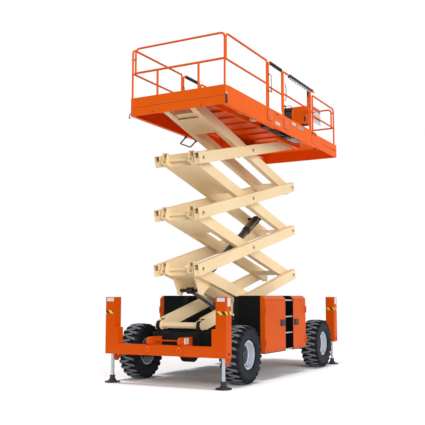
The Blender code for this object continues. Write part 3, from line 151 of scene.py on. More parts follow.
def hosePiece(name, runs, radius, material, body):
    # one or more hoses, pipes or wires of the same size, each along its own points
    line = bpy.data.curves.new(name, "CURVE")
    line.dimensions = "3D"
    line.bevel_depth = radius
    line.bevel_resolution = 2
    line.resolution_u = 5
    line.use_fill_caps = True
    for points in runs:
        spline = line.splines.new("NURBS")
        spline.points.add(len(points) - 1)
        for point, place in zip(spline.points, points):
            point.co = (*place, 1)
        spline.order_u = 3
        spline.use_endpoint_u = True
    piece = bpy.data.objects.new(name, line)
    bpy.context.scene.collection.objects.link(piece)
    line.materials.append(material)
    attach(piece, body)
    return piece


# node helpers shared by the finishes

def feed(tree, socket, value):
    # a plain value is set, the output of another node is linked
    if isinstance(value, (int, float, tuple)):
        socket.default_value = value
    else:
        tree.links.new(value, socket)


def addNode(tree, kind, feeds=()):
    node = tree.nodes.new("ShaderNode" + kind)
    for label, value in feeds:
        feed(tree, node.inputs[label], value)
    return node


def mathNode(tree, operation, *values, kind="Math", output=0):
    node = addNode(tree, kind)
    node.operation = operation
    for index, value in enumerate(values):
        feed(tree, node.inputs[index], value)
    return node.outputs[output]


def times(tree, first, second):
    return mathNode(tree, "MULTIPLY", first, second)


def invert(tree, value):
    return mathNode(tree, "SUBTRACT", 1.0, value)


def addShare(tree, base, value, share):
    # the base and a share of the value
    return mathNode(tree, "ADD", base, times(tree, value, share))


def placeNode(tree):
    return addNode(tree, "TexCoord").outputs["Object"]


def splitNode(tree, vector):
    return addNode(tree, "SeparateXYZ", [(0, vector)]).outputs


def noiseNode(tree, vector, scale, detail=2.0, roughness=0.5):
    feeds = [("Vector", vector), ("Scale", scale), ("Detail", detail), ("Roughness", roughness)]
    return addNode(tree, "TexNoise", feeds).outputs["Fac"]


def rampNode(tree, value, low, high):
    node = addNode(tree, "MapRange", [("Value", value), ("From Min", low), ("From Max", high)])
    node.interpolation_type = "SMOOTHSTEP"
    return node.outputs["Result"]


def mixColour(tree, factor, first, second):
    # a plain colour is given without its alpha
    node = addNode(tree, "Mix")
    node.data_type = "RGBA"
    feed(tree, node.inputs[0], factor)
    for index, value in ((6, first), (7, second)):
        feed(tree, node.inputs[index], (*value, 1) if isinstance(value, tuple) else value)
    return node.outputs[2]


def startGroup(name, inputs, outputs):
    group = bpy.data.node_groups.new(name, "ShaderNodeTree")
    for label, kind, value in inputs:
        socket = group.interface.new_socket(name=label, in_out="INPUT", socket_type="NodeSocket" + kind)
        socket.default_value = value
    for label, kind in outputs:
        group.interface.new_socket(name=label, in_out="OUTPUT", socket_type="NodeSocket" + kind)
    inside = group.nodes.new("NodeGroupInput").outputs
    outside = group.nodes.new("NodeGroupOutput").inputs
    return group, inside, outside


def makeEnamelGroup():
    # colour, roughness and height of sprayed enamel: soft mottle, a painted highlight on the edges, dust low
    # down, orange peel
    white = (1, 1, 1, 1)
    group, inside, outside = startGroup(
        "enamelSurface",
        [("Colour", "Color", white), ("Deep", "Color", white), ("Edge", "Color", white),
         ("Gloss", "Float", 0.35), ("Dust", "Float", 0.1), ("HighlightShare", "Float", 0.2)],
        [("Colour", "Color"), ("Roughness", "Float"), ("Height", "Float")])
    place = placeNode(group)
    broad = rampNode(group, noiseNode(group, place, 1.7, 4.0), 0.35, 0.72)
    colour = mixColour(group, times(group, broad, 0.5), inside["Colour"], inside["Deep"])
    # the painted edge highlight comes from the difference between a bevelled and the true normal, broken up
    # by noise
    soft = addNode(group, "Bevel", [("Radius", 0.006)])
    soft.samples = 4
    normals = (soft.outputs["Normal"], addNode(group, "NewGeometry").outputs["Normal"])
    facing = mathNode(group, "DOT_PRODUCT", *normals, kind="VectorMath", output="Value")
    highlightBreakup = rampNode(group, noiseNode(group, place, 38.0, 3.0), 0.42, 0.62)
    edge = times(group, rampNode(group, invert(group, facing), 0.01, 0.12), highlightBreakup)
    colour = mixColour(group, times(group, edge, inside["HighlightShare"]), colour, inside["Edge"])
    low = invert(group, rampNode(group, splitNode(group, place)["Z"], 0.0, 0.95))
    patches = rampNode(group, noiseNode(group, place, 6.5, 5.0, 0.62), 0.42, 0.7)
    dust = times(group, times(group, low, patches), inside["Dust"])
    feed(group, outside["Colour"], mixColour(group, dust, colour, (0.3, 0.25, 0.19)))
    rough = addShare(group, inside["Gloss"], noiseNode(group, place, 90.0, 2.0), 0.1)
    feed(group, outside["Roughness"], addShare(group, rough, dust, 0.5))
    feed(group, outside["Height"], noiseNode(group, place, 260.0, 1.0))
    return group


def makeBoxMaskGroup():
    # 1 inside a box given by its corners, with X taken as a distance from the middle plane
    group, inside, outside = startGroup(
        "boxMask", [("Low", "Vector", (0, 0, 0)), ("High", "Vector", (1, 1, 1))], [("Mask", "Float")])
    point, lows, highs = [splitNode(group, v) for v in (placeNode(group), inside["Low"], inside["High"])]
    mask = 1.0
    for axis in "XYZ":
        value = mathNode(group, "ABSOLUTE", point[axis]) if axis == "X" else point[axis]
        above = mathNode(group, "GREATER_THAN", value, lows[axis])
        below = mathNode(group, "LESS_THAN", value, highs[axis])
        mask = times(group, mask, times(group, above, below))
    feed(group, outside["Mask"], mask)
    return group


enamelGroup = makeEnamelGroup()
boxMaskGroup = makeBoxMaskGroup()


# finishes

def startMaterial(name, shine=0.5):
    material = bpy.data.materials.new(name)
    material.use_nodes = True
    tree = material.node_tree
    tree.nodes["Principled BSDF"].inputs["Specular IOR Level"].default_value = shine
    return material, tree, placeNode(tree)


def setSurface(tree, colour, rough, metallic=0.0):
    shader = tree.nodes["Principled BSDF"]
    for label, value in (("Base Color", colour), ("Roughness", rough), ("Metallic", metallic)):
        feed(tree, shader.inputs[label], value)


def setBump(tree, height, strength, distance=0.001):
    bump = addNode(tree, "Bump", [("Height", height), ("Strength", strength), ("Distance", distance)])
    feed(tree, tree.nodes["Principled BSDF"].inputs["Normal"], bump.outputs["Normal"])


def boxMask(tree, boxes):
    # the union of several boxes, each as low and high corner in the machine's own frame
    mask = 0.0
    for low, high in boxes:
        node = tree.nodes.new("ShaderNodeGroup")
        node.node_tree = boxMaskGroup
        node.inputs["Low"].default_value = machine(*low)
        node.inputs["High"].default_value = machine(*high)
        mask = mathNode(tree, "MAXIMUM", mask, node.outputs[0])
    return mask


def enamelMaterial(name, colour, deep, edge, gloss=0.32, dust=0.1, shine=0.06, boxes=(),
                   second=(0.006, 0.006, 0.007)):
    # sprayed enamel, with a second colour inside the boxes
    material, tree = startMaterial(name, shine)[:2]
    paint = tree.nodes.new("ShaderNodeGroup")
    paint.node_tree = enamelGroup
    for label, value in (("Colour", (*colour, 1)), ("Deep", (*deep, 1)), ("Edge", (*edge, 1)),
                         ("Gloss", gloss), ("Dust", dust), ("HighlightShare", 0.2)):
        paint.inputs[label].default_value = value
    result = paint.outputs["Colour"]
    if boxes:
        result = mixColour(tree, boxMask(tree, boxes), result, second)
    setSurface(tree, result, paint.outputs["Roughness"])
    setBump(tree, paint.outputs["Height"], 0.08, 0.0006)
    return material


# each enamel's edge colour is the lighter tone of the painted highlight on its edges
orangeEnamel = {"colour": (0.62, 0.084, 0.001), "deep": (0.55, 0.07, 0.001), "edge": (0.9, 0.21, 0.02)}
# painted light: a copy of the same orange enamel for the outrigger columns, its tone tuned to how light falls
# on their faces
lightTunedColumnEnamel = {"colour": (0.64, 0.077, 0.001), "deep": (0.57, 0.064, 0.001), "edge": (0.88, 0.18, 0.02)}
# painted light: the platform's enamel is a brighter copy of the same orange, standing for the stronger light
# on the platform
litPlatformEnamel = {"colour": (0.98, 0.14, 0.006), "deep": (0.92, 0.118, 0.004), "edge": (1.0, 0.32, 0.08)}
creamEnamel = {"colour": (0.94, 0.75, 0.47), "deep": (0.88, 0.67, 0.38), "edge": (0.98, 0.87, 0.66)}
blackEnamel = {"colour": (0.006, 0.006, 0.007), "deep": (0.004, 0.004, 0.005), "edge": (0.03, 0.03, 0.034)}
gripCoat = (0.05, 0.05, 0.054)
hoodBlack = [
    # both end walls, inner wall, ladder recess and its pad on top, bottom edge, inside both compartments
    ((0.0, -0.99, 0.4), (0.975, -0.955, 1.44)), ((0.0, 0.885, 0.4), (0.975, 0.92, 1.44)),
    ((0.0, -1.0, 0.4), (0.576, 1.0, 1.415)), ((0.9, -0.0855, 0.4), (1.08, 0.2805, 1.44)),
    ((0.0, -0.0855, 1.412), (0.95, 0.2805, 1.44)), ((0.0, -1.0, 0.4), (1.08, 1.0, 0.447)),
    ((0.0, -0.945, 0.443), (1.048, -0.1, 1.345)), ((0.0, -0.945, 1.3), (0.99, -0.1, 1.41)),
    ((0.0, 0.3, 0.443), (1.048, 0.875, 1.345)), ((0.0, 0.3, 1.3), (0.99, 0.875, 1.41)),
]
# the grip coat on the floor and on the extension's floor, the controller and the hook of its box
deckBlack = [((0.0, -2.15, 4.7855), (0.9195, 2.08, 4.789))]
extensionBlack = [((0.0, 1.1, 4.7975), (0.8925, 3.309, 4.801))]
boxBlack = [((0.2, 1.5, 5.0), (0.519, 2.0, 5.6)), ((0.8, 1.5, 5.62), (0.95, 2.0, 5.8))]

orangePaint = enamelMaterial("orangePaint", **orangeEnamel)
# painted light: the columns' finish uses the copy of the orange tuned to their lighting
lightTunedColumnPaint = enamelMaterial("lightTunedColumnPaint", **lightTunedColumnEnamel)
creamPaint = enamelMaterial("creamPaint", **creamEnamel, gloss=0.4, dust=0.05)
blackPaint = enamelMaterial("blackPaint", **blackEnamel, gloss=0.5, dust=0.12, shine=0.15)
hoodPaint = enamelMaterial("hoodPaint", **orangeEnamel, gloss=0.28, boxes=hoodBlack)
# painted light: the platform, deck, extension and control box finishes use the brighter copy of the orange
litPlatformPaint = enamelMaterial("litPlatformPaint", **litPlatformEnamel, gloss=0.34, dust=0.0)
litDeckPaint = enamelMaterial("litDeckPaint", **litPlatformEnamel, gloss=0.34, dust=0.0,
                           boxes=deckBlack, second=gripCoat)
litExtensionPaint = enamelMaterial("litExtensionPaint", **litPlatformEnamel, gloss=0.34, dust=0.0,
                                boxes=extensionBlack, second=gripCoat)
litControlPaint = enamelMaterial("litControlPaint", **litPlatformEnamel, gloss=0.3, dust=0.0, boxes=boxBlack)


def axleDistance(tree, place):
    # how far a point is from the axis of its own wheel
    split = splitNode(tree, place)
    along = mathNode(tree, "ABSOLUTE", mathNode(tree, "SUBTRACT", split["Y"], lift["shiftY"]))
    along = mathNode(tree, "SUBTRACT", along, lift["axleY"])
    rise = mathNode(tree, "SUBTRACT", split["Z"], lift["tyreR"])
    return mathNode(tree, "SQRT", mathNode(tree, "ADD", times(tree, along, along), times(tree, rise, rise)))


def makeRubber():
    material, tree, place = startMaterial("tyreRubber", 0.1)
    mottle = noiseNode(tree, place, 9.0, 5.0, 0.6)
    colour = mixColour(tree, rampNode(tree, mottle, 0.35, 0.75), (0.007, 0.009, 0.013), (0.018, 0.021, 0.028))
    # painted highlight: the crests of the lugs are painted pale where light catches them
    crest = rampNode(tree, axleDistance(tree, place), 0.455, 0.4655)
    crestHighlight = times(tree, crest, addShare(tree, 0.45, mottle, 0.6))
    setSurface(tree, mixColour(tree, crestHighlight, colour, (0.21, 0.225, 0.25)), addShare(tree, 0.42, mottle, 0.28))
    setBump(tree, noiseNode(tree, place, 160.0, 3.0), 0.25, 0.001)
    return material


def makeRimPaint():
    # a bright barrel and flange round a dark disc; the disc's dark is painted shade, standing for the shade
    # deep in the dish
    material, tree, place = startMaterial("rimPaint")
    mottle = noiseNode(tree, place, 14.0, 4.0)
    # painted shade: the disc within about 0.17 m of the axle is darkened
    disc = invert(tree, rampNode(tree, axleDistance(tree, place), 0.16, 0.18))
    bright = mixColour(tree, mottle, (0.46, 0.51, 0.58), (0.66, 0.71, 0.79))
    dark = mixColour(tree, mottle, (0.018, 0.02, 0.026), (0.045, 0.05, 0.062))
    setSurface(tree, mixColour(tree, disc, bright, dark), addShare(tree, 0.28, mottle, 0.2), 0.4)
    setBump(tree, noiseNode(tree, place, 120.0, 2.0), 0.1, 0.0008)
    return material


def makeJackFinish():
    # a chromed ram over a black foot
    material, tree, place = startMaterial("jackFinish")
    ram = mathNode(tree, "GREATER_THAN", splitNode(tree, place)["Z"], 0.121)
    grain = noiseNode(tree, place, 25.0, 3.0)
    steel = mixColour(tree, grain, (0.36, 0.41, 0.47), (0.56, 0.61, 0.67))
    foot = mixColour(tree, grain, (0.005, 0.005, 0.006), (0.013, 0.013, 0.014))
    rough = mathNode(tree, "SUBTRACT", 0.5, times(tree, ram, 0.28))
    setSurface(tree, mixColour(tree, ram, foot, steel), rough, times(tree, ram, 0.85))
    setBump(tree, grain, 0.1, 0.0006)
    return material


def makeMetal(name, dark, light, metallic, rough, stretch=(1, 1, 1), shadeBoxes=()):
    # grain between two colours, and painted shade inside the boxes
    material, tree, place = startMaterial(name)
    mapping = addNode(tree, "Mapping", [("Vector", place), ("Scale", stretch)])
    grain = noiseNode(tree, mapping.outputs["Vector"], 12.0, 3.0)
    colour = mixColour(tree, grain, dark, light)
    if shadeBoxes:
        colour = mixColour(tree, boxMask(tree, shadeBoxes), colour, (0.035, 0.026, 0.024))
    setSurface(tree, colour, addShare(tree, rough, grain, 0.15), metallic)
    setBump(tree, grain, 0.06, 0.0005)
    return material


def makePlain(name, dark, light, rough, scale=20.0, bump=0.15):
    # moulded plastic, foam or a printed plate: mottled, with a fine grain
    material, tree, place = startMaterial(name, 0.3)
    mottle = noiseNode(tree, place, scale, 3.0)
    setSurface(tree, mixColour(tree, mottle, dark, light), addShare(tree, rough, mottle, 0.12))
    setBump(tree, noiseNode(tree, place, scale * 14, 2.0), bump, 0.0008)
    return material


def makeStripes(name, slant, pitch, ground, soilScale, dark, light, bar):
    # bars on a soiled ground; slant is what each axis counts along their row, ground the share between bars
    material, tree, place = startMaterial(name)
    along = mathNode(tree, "DOT_PRODUCT", place, slant, kind="VectorMath", output="Value")
    wave = mathNode(tree, "FRACT", times(tree, along, 1 / pitch))
    bars = mathNode(tree, "GREATER_THAN", wave, ground)
    soil = noiseNode(tree, place, soilScale, 4.0)
    colour = mixColour(tree, bars, mixColour(tree, soil, dark, light), bar)
    setSurface(tree, colour, addShare(tree, 0.35, soil, 0.2))
    return material


shadedRodEyes = [
    # painted shade on the lower and the upper rod's eye, each in its lugs
    ((0.0, -1.765, 1.41), (0.2, -1.58, 1.6)), ((0.0, 0.9, 2.89), (0.2, 1.09, 3.075)),
]
tyreRubber = makeRubber()
rimPaint = makeRimPaint()
jackFinish = makeJackFinish()
# painted shade: the rods' steel is darker than chrome, standing for the shade they sit in
rodSteel = makeMetal("chromeRod", (0.16, 0.17, 0.19), (0.3, 0.31, 0.33), 0.8, 0.22, (1, 1, 30), shadedRodEyes)
zincSteel = makeMetal("zincSteel", (0.4, 0.41, 0.43), (0.62, 0.63, 0.65), 0.8, 0.32)
pinSteel = makeMetal("pinSteel", (0.2, 0.165, 0.13), (0.34, 0.29, 0.23), 0.5, 0.36)
darkSteel = makeMetal("darkSteel", (0.028, 0.024, 0.022), (0.07, 0.06, 0.055), 0.5, 0.38)
barrelPaint = makeMetal("barrelPaint", (0.022, 0.014, 0.015), (0.05, 0.036, 0.038), 0.3, 0.28)
engineIron = makePlain("engineIron", (0.06, 0.06, 0.065), (0.12, 0.12, 0.13), 0.55)
foamGrip = makePlain("foamGrip", (0.012, 0.013, 0.018), (0.035, 0.037, 0.048), 0.75, 40.0, 0.5)
blackPlastic = makePlain("blackPlastic", (0.01, 0.01, 0.012), (0.022, 0.022, 0.026), 0.42)
hoseRubber = makePlain("hoseRubber", (0.01, 0.01, 0.011), (0.024, 0.024, 0.026), 0.5, 60.0)
whitePlate = makePlain("whitePlate", (0.58, 0.58, 0.61), (0.74, 0.74, 0.77), 0.4, 26.0, 0.05)
redPlate = makePlain("redPlate", (0.55, 0.06, 0.04), (0.65, 0.09, 0.05), 0.4, 8.0, 0.05)
greyTray = makePlain("greyTray", (0.2, 0.3, 0.38), (0.38, 0.5, 0.58), 0.4, 7.0, 0.1)
palePlastic = makePlain("palePlastic", (0.52, 0.5, 0.46), (0.68, 0.66, 0.61), 0.4, 12.0, 0.1)
orangeTrim = makePlain("orangeTrim", (0.76, 0.095, 0.002), (0.94, 0.135, 0.004), 0.35, 6.0, 0.06)
hazardTape = makeStripes("hazardTape", (1, 1, 0.9), 0.128, 0.5, 30.0,
                         (0.8, 0.47, 0.02), (0.9, 0.56, 0.03), (0.012, 0.012, 0.012))
stripedPlate = makeStripes("stripedPlate", (0, 1, 0), 0.085, 0.62, 24.0,
                           (0.74, 0.7, 0.68), (0.86, 0.83, 0.81), (0.7, 0.3, 0.24))


# finishes on the CAD nodes

nodeFinish = [
    # finish, starts of the nodes' names; all the others are orange
    (tyreRubber, ("tyre",)), (rimPaint, ("rim",)), (creamPaint, ("outer_arms", "inner_arms")),
    (jackFinish, ("jack_leg",)), (rodSteel, ("lower_cylinder_rod", "upper_cylinder_rod")),
    (barrelPaint, ("lower_cylinder_barrel", "upper_cylinder_barrel")), (engineIron, ("engine_block",)),
    (blackPaint, ("hydraulic_tank", "chassis_frame", "rear_axle", "front_axle", "steering")),
    (blackPlastic, ("entry_step",)), (hoodPaint, ("left_hood", "right_hood")),
    (lightTunedColumnPaint, ("rear_outrigger", "front_outrigger")), (litDeckPaint, ("deck_frame",)),
    (litExtensionPaint, ("extension_deck",)), (litControlPaint, ("control_box",)),
    (litPlatformPaint, ("extension_rail", "rear_rail", "left_rail", "right_rail", "left_gate", "right_gate")),
]
for nodeName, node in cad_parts.items():
    finish = next((m for m, starts in nodeFinish if nodeName.startswith(starts)), orangePaint)
    node.data.materials.clear()
    node.data.materials.append(finish)
print("finishes set on the CAD nodes")


# tyres: a carcass with staggered lugs that reach past the middle

tyreMake = {
    "lugs": 25, "depth": 0.03, "tipWidth": 0.03, "rootWidth": 0.056, "lean": 0.085,
    # x and radius of the carcass, from the bead over the shoulder to the middle
    "carcass": [(0.128, 0.238), (0.15, 0.236), (0.158, 0.252), (0.1665, 0.262), (0.1665, 0.272),
                (0.163, 0.278), (0.17, 0.32), (0.171, 0.345), (0.168, 0.375), (0.17, 0.38), (0.169, 0.392),
                (0.163, 0.396), (0.15, 0.424), (0.115, 0.436), (0.055, 0.441), (0.0, 0.442)],
    "inner": [(0.11, 0.262), (0.145, 0.3), (0.14, 0.38), (0.09, 0.415)],
    # x and radius of a lug's crest from its tip to its foot on the wall
    "crest": [(-0.05, 0.466), (0.0, 0.47), (0.06, 0.4695), (0.115, 0.466), (0.152, 0.456), (0.17, 0.436),
              (0.1745, 0.404)],
}


def lugCrest(t):
    points = tyreMake["crest"]
    place = t * (len(points) - 1)
    index = min(int(place), len(points) - 2)
    share = place - index
    a, b = points[index], points[index + 1]
    return Vector((a[0] + (b[0] - a[0]) * share, a[1] + (b[1] - a[1]) * share))


def makeLugForm():
    # a unit lug along X, cut in steps, with the edges of its crest broken
    bm = bmesh.new()
    bmesh.ops.create_cube(bm, size=1.0)
    long = [e for e in bm.edges if abs(e.verts[0].co.x - e.verts[1].co.x) > 0.5]
    bmesh.ops.subdivide_edges(bm, edges=long, cuts=5, use_grid_fill=True)
    bm.normal_update()
    rims = [e for e in bm.edges if min(v.co.z for v in e.verts) > 0.4
            and abs(e.link_faces[0].normal.z - e.link_faces[1].normal.z) > 0.5]
    bmesh.ops.bevel(bm, geom=rims, offset=0.09, segments=1, profile=0.5, affect="EDGES", material=-1)
    mesh = bpy.data.meshes.new("lugForm")
    bm.to_mesh(mesh)
    bm.free()
    return mesh


def addLug(bm, lugForm, side, angle):
    before = len(bm.verts)
    bm.from_mesh(lugForm)
    bm.verts.ensure_lookup_table()
    for vert in bm.verts[before:]:
        t = min(max(vert.co.x + 0.5, 0.0), 1.0)
        crest = lugCrest(t)
        run = (lugCrest(min(t + 0.05, 1.0)) - lugCrest(max(t - 0.05, 0.0))).normalized()
        inward = Vector((run.y, -run.x))
        sink = (0.5 - vert.co.z) * (tyreMake["depth"] + 0.012)
        x = crest.x + inward.x * sink
        radius = crest.y + inward.y * sink
        width = tyreMake["tipWidth"] + (tyreMake["rootWidth"] - tyreMake["tipWidth"]) * t
        spread = width * (1.0 + 0.22 * (0.5 - vert.co.z))
        turn = angle + tyreMake["lean"] * (x / lift["tyreHalf"]) + vert.co.y * spread / lift["tyreR"]
        vert.co = Vector((side * x, -radius * math.sin(turn), radius * math.cos(turn)))


def makeTyre():
    bm = bmesh.new()
    outline = tyreMake["carcass"] + [(-x, r) for x, r in reversed(tyreMake["carcass"][:-1])]
    inner = [(-x, r) for x, r in tyreMake["inner"]] + [(x, r) for x, r in reversed(tyreMake["inner"])]
    ring = [bm.verts.new((x, 0, r)) for x, r in outline + inner]
    edges = [bm.edges.new((ring[i], ring[(i + 1) % len(ring)])) for i in range(len(ring))]
    bmesh.ops.spin(bm, geom=ring + edges, cent=(0, 0, 0), axis=(1, 0, 0), angle=math.tau, steps=80,
                   use_merge=True)
    bmesh.ops.remove_doubles(bm, verts=bm.verts, dist=0.00005)
    pitch = math.tau / tyreMake["lugs"]
    lugForm = makeLugForm()
    for index in range(tyreMake["lugs"]):
        addLug(bm, lugForm, 1, index * pitch)
        addLug(bm, lugForm, -1, (index + 0.5) * pitch)
    bpy.data.meshes.remove(lugForm)
    mesh = bpy.data.meshes.new("tyreForm")
    bmesh.ops.recalc_face_normals(bm, faces=bm.faces)
    bm.to_mesh(mesh)
    bm.free()
    return mesh


wheelPlaces = [
    # name, side, y in the row frame
    ("rear_left", -1, rowY(-lift["axleY"])), ("rear_right", 1, rowY(-lift["axleY"])),
    ("front_left", -1, rowY(lift["axleY"])), ("front_right", 1, rowY(lift["axleY"])),
]
tyreForm = makeTyre()
for name, side, y in wheelPlaces:
    bm = bmesh.new()
    bm.from_mesh(tyreForm)
    bmesh.ops.translate(bm, vec=(side * lift["wheelX"], y, lift["tyreR"]), verts=bm.verts)
    tyre = keepPiece("lugTyre_" + name, bm, tyreRubber, "wheel_" + name, 28)
    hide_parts("tyre_" + name)
bpy.data.meshes.remove(tyreForm)
print("tyres made")


# wheel fittings: studs, hub cap and valve

wheelFittings = {"studs": 9, "circle": 0.10492, "faceX": 0.031, "hubX": 0.088, "hubR": 0.034,
                 "hubCircle": 0.022}


def makeWheelFittings(name, side, y):
    studs, circle, faceX, hubX, hubR, hubCircle = wheelFittings.values()
    centre = Vector((side * lift["wheelX"], y, lift["tyreR"]))
    out = Vector((side, 0, 0))
    hub = centre + out * hubX
    rings = [
        # middle, how many, circle, turn, size and height of the bolts
        (centre + out * faceX, studs, circle, 0, 0.013, 0.022), (hub, 4, hubCircle, 0.5, 0.005, 0.007),
    ]
    bm = bmesh.new()
    for middle, count, reach, shift, size, height in rings:
        for index in range(count):
            turn = math.tau * (index + shift) / count
            addBolt(bm, middle + Vector((0, math.cos(turn), math.sin(turn))) * reach, out, size, height)
    addRound(bm, hub - out * 0.006, hub + out * 0.004, hubR, 18, tip=hubR - 0.004)
    keepPiece("wheelStuds_" + name, bm, darkSteel, "wheel_" + name)
    low = centre + Vector((side * 0.052, 0.02, -0.165))
    neck, tip = low + Vector((side * 0.03, 0, -0.018)), low + Vector((side * 0.045, 0, -0.027))
    bm = bmesh.new()
    addRound(bm, low, neck, 0.006, 10)
    addRound(bm, low + Vector((side * 0.028, 0, -0.017)), tip, 0.0075, 10, tip=0.006)
    keepPiece("tyreValve_" + name, bm, blackPlastic, "wheel_" + name)


for name, side, y in wheelPlaces:
    makeWheelFittings(name, side, y)
print("wheel fittings made")


# outrigger columns: hazard tape, blank plates and a plug

columnTrim = {
    "near": 2.354, "far": 2.528, "tapeLow": 1.123, "tapeHigh": 1.176, "tapeIn": 0.968, "skin": 0.0008,
    "plateLow": 1.325, "plateHigh": 1.384, "plateIn": 0.972, "sideLow": 1.252, "sideHigh": 1.385,
    "plugZ": 0.53,
}
columnPlaces = [
    # name, side, end
    ("rear_left", -1, -1), ("rear_right", 1, -1), ("front_left", -1, 1), ("front_right", 1, 1),
]


def makeColumnTrim(name, side, end):
    # tape round three faces, one plate on the end face and one on the outer face, and a plug low down
    make, outX = columnTrim, lift["columnOut"]
    skin, low, high, startX = make["skin"], make["tapeLow"], make["tapeHigh"], make["tapeIn"]
    near, far = sorted((end * make["near"], end * make["far"]))
    tape = [((startX, near - skin, low), (outX + skin, near + 0.001, high)),
            ((startX, far - 0.001, low), (outX + skin, far + skin, high)),
            ((outX - 0.001, near - skin, low), (outX + skin, far + skin, high))]
    blockPiece("hazardTape_" + name, tape, hazardTape, "chassis", side=side)
    a, b = sorted((end * make["far"], end * (make["far"] + 0.0012)))
    plates = [((make["plateIn"], a, make["plateLow"]), (outX - 0.022, b, make["plateHigh"])),
              ((outX, near + 0.045, make["sideLow"]), (outX + 0.0012, far - 0.03, make["sideHigh"]))]
    blockPiece("columnPlates_" + name, plates, whitePlate, "chassis", side=side, bevel=0.0004)
    middle = machine(side * (outX - 0.001), (near + far) / 2, make["plugZ"])
    outline = [(0, 0), (0, 0.016), (0.01, 0.016), (0.014, 0.012), (0.022, 0.012), (0.024, 0.009), (0.024, 0)]
    turnedPiece("columnPlugs_" + name, middle, (side, 0, 0), outline, 14, darkSteel, "chassis")


for name, side, end in columnPlaces:
    makeColumnTrim(name, side, end)
print("column trim made")


# hood hardware: latches, edge beads, the flange beside the arms and rung sleeves

hoodTrim = {
    "latchLow": 0.878, "latchHigh": 0.992, "rungs": (0.458, 0.75, 1.041, 1.337), "rungR": 0.0134, "beads": 7,
    "beadLow": 0.58, "beadPitch": 0.125, "flangeX": 0.467, "flangeLow": 0.845, "flangeHigh": 1.408,
}
doorPlaces = [
    # name, near and far edge of its latch, the end of the latch that is next to the ladder
    ("near", -0.312, -0.128, 1), ("far", 0.323, 0.507, -1),
]


def makeLatch(word, side, name, near, far, towards):
    # a moulded bezel with a raised rim, round a paddle and a lock
    body = f"{word}_{name}_door"
    face, low, high = lift["hoodOut"], hoodTrim["latchLow"], hoodTrim["latchHigh"]
    rimIn, rimOut, inset, wide = face + 0.0145, face + 0.0185, 0.006, 0.008
    blocks = [((face + 0.0004, near, low), (face + 0.015, far, high), 0.004, 2)]
    for y in (near + inset, far - inset - wide):
        blocks.append(((rimIn, y, low + inset), (rimOut, y + wide, high - inset), 0.002, 1))
    for z in (low + inset, high - inset - wide):
        blocks.append(((rimIn, near + inset, z), (rimOut, far - inset, z + wide), 0.002, 1))
    blockPiece(f"doorLatch_{word}_{name}", blocks, blackPlastic, body, side=side)
    y = (near + far) / 2 + towards * 0.03
    lock, lockZ = y - towards * 0.052, low + 0.057
    bm = bmesh.new()
    addBlocks(bm, [((rimIn, y - 0.02, low + 0.026), (face + 0.0165, y + 0.02, high - 0.022), 0.0008, 1),
                   ((face + 0.016, y - 0.013, low + 0.044), (face + 0.0205, y + 0.013, high - 0.04),
                    0.002, 2)], side)
    addRound(bm, machine(side * rimIn, lock, lockZ), machine(side * (face + 0.0175), lock, lockZ), 0.01)
    keepPiece(f"latchPaddle_{word}_{name}", bm, darkSteel, body)


def makeEdgeBeads(word, side):
    # rubber beads on the edge between the hood's skin and its black end walls
    blocks = []
    for y, out in ((lift["hoodNear"], -1), (lift["hoodFar"], 1)):
        a, b = sorted((y - out * 0.001, y + out * 0.006))
        for step in range(hoodTrim["beads"]):
            z = hoodTrim["beadLow"] + step * hoodTrim["beadPitch"]
            blocks.append(((0.966, a, z), (0.984, b, z + 0.034)))
    blockPiece("edgeBeads_" + word, blocks, blackPlastic, "chassis", side=side, bevel=0.002)


def makeEndFlange(word, side):
    # the folded sheet that carries the black end wall inwards beside the arms
    near, x, low, high = lift["hoodNear"], hoodTrim["flangeX"], hoodTrim["flangeLow"], hoodTrim["flangeHigh"]
    blocks = [((x, near, low), (lift["hoodIn"] + 0.004, near + 0.004, high)),
              ((x, near, low), (x + 0.004, near + 0.045, high))]
    blockPiece("endFlange_" + word, blocks, blackPaint, "chassis", side, 0.0015)


def makeRungs(word, side):
    # a sleeve round each rung, with a collar at each end and nine grip rings
    x, radius = side * (lift["hoodOut"] - 0.03), hoodTrim["rungR"]
    near, far = lift["ladderNear"] + 0.001, lift["ladderFar"] - 0.001
    bm = bmesh.new()
    for z in hoodTrim["rungs"]:
        addRound(bm, machine(x, near, z), machine(x, far, z), radius)
        for y in (near + 0.002, far - 0.008):
            addRound(bm, machine(x, y, z), machine(x, y + 0.006, z), radius + 0.0041, bevel=0.001)
        for step in range(9):
            y = near + 0.05 + step * 0.033
            addRound(bm, machine(x, y, z), machine(x, y + 0.006, z), radius + 0.0008, 12)
    keepPiece("rungSleeves_" + word, bm, zincSteel, "chassis")


for word, side in (("left", -1), ("right", 1)):
    for name, near, far, towards in doorPlaces:
        makeLatch(word, side, name, near, far, towards)
    if side < 0:
        makeEdgeBeads(word, side)
    makeEndFlange(word, side)
    makeRungs(word, side)
print("hood hardware made")


# scissor arms: pin ends, rubber stops, and the hoses clipped inside the right arms

armTrim = {"cap": 0.03, "stand": 0.012, "boss": 0.008, "stopX": 0.26, "stopBack": 0.16, "stopLow": 0.0965}
armHoses = {
    "x": 0.196, "radius": 0.01, "pitch": 0.024, "clips": (0.42, 0.82, 1.36, 2.22, 2.78),
    # distance along the arm, and height over its middle line
    "marks": ((0.2, -0.05), (0.45, -0.052), (0.8, -0.055), (1.35, -0.06), (1.75, -0.035), (2.2, -0.05),
              (2.6, -0.055), (2.86, -0.04)),
}


def armPoint(pair, stage, u, w=0.0):
    # a point u along an arm from its near pivot and w over it, in the row frame
    angle = lift["armAngle"]
    rise = lift["armLength"] * math.sin(angle)
    turn = angle if pair == "outer" else -angle
    base = lift["pivotZ"] + (stage - 1 if pair == "outer" else stage) * rise
    return Vector((0, rowY(lift["pivotY"]) + u * math.cos(turn) - w * math.sin(turn),
                   base + u * math.sin(turn) + w * math.cos(turn)))


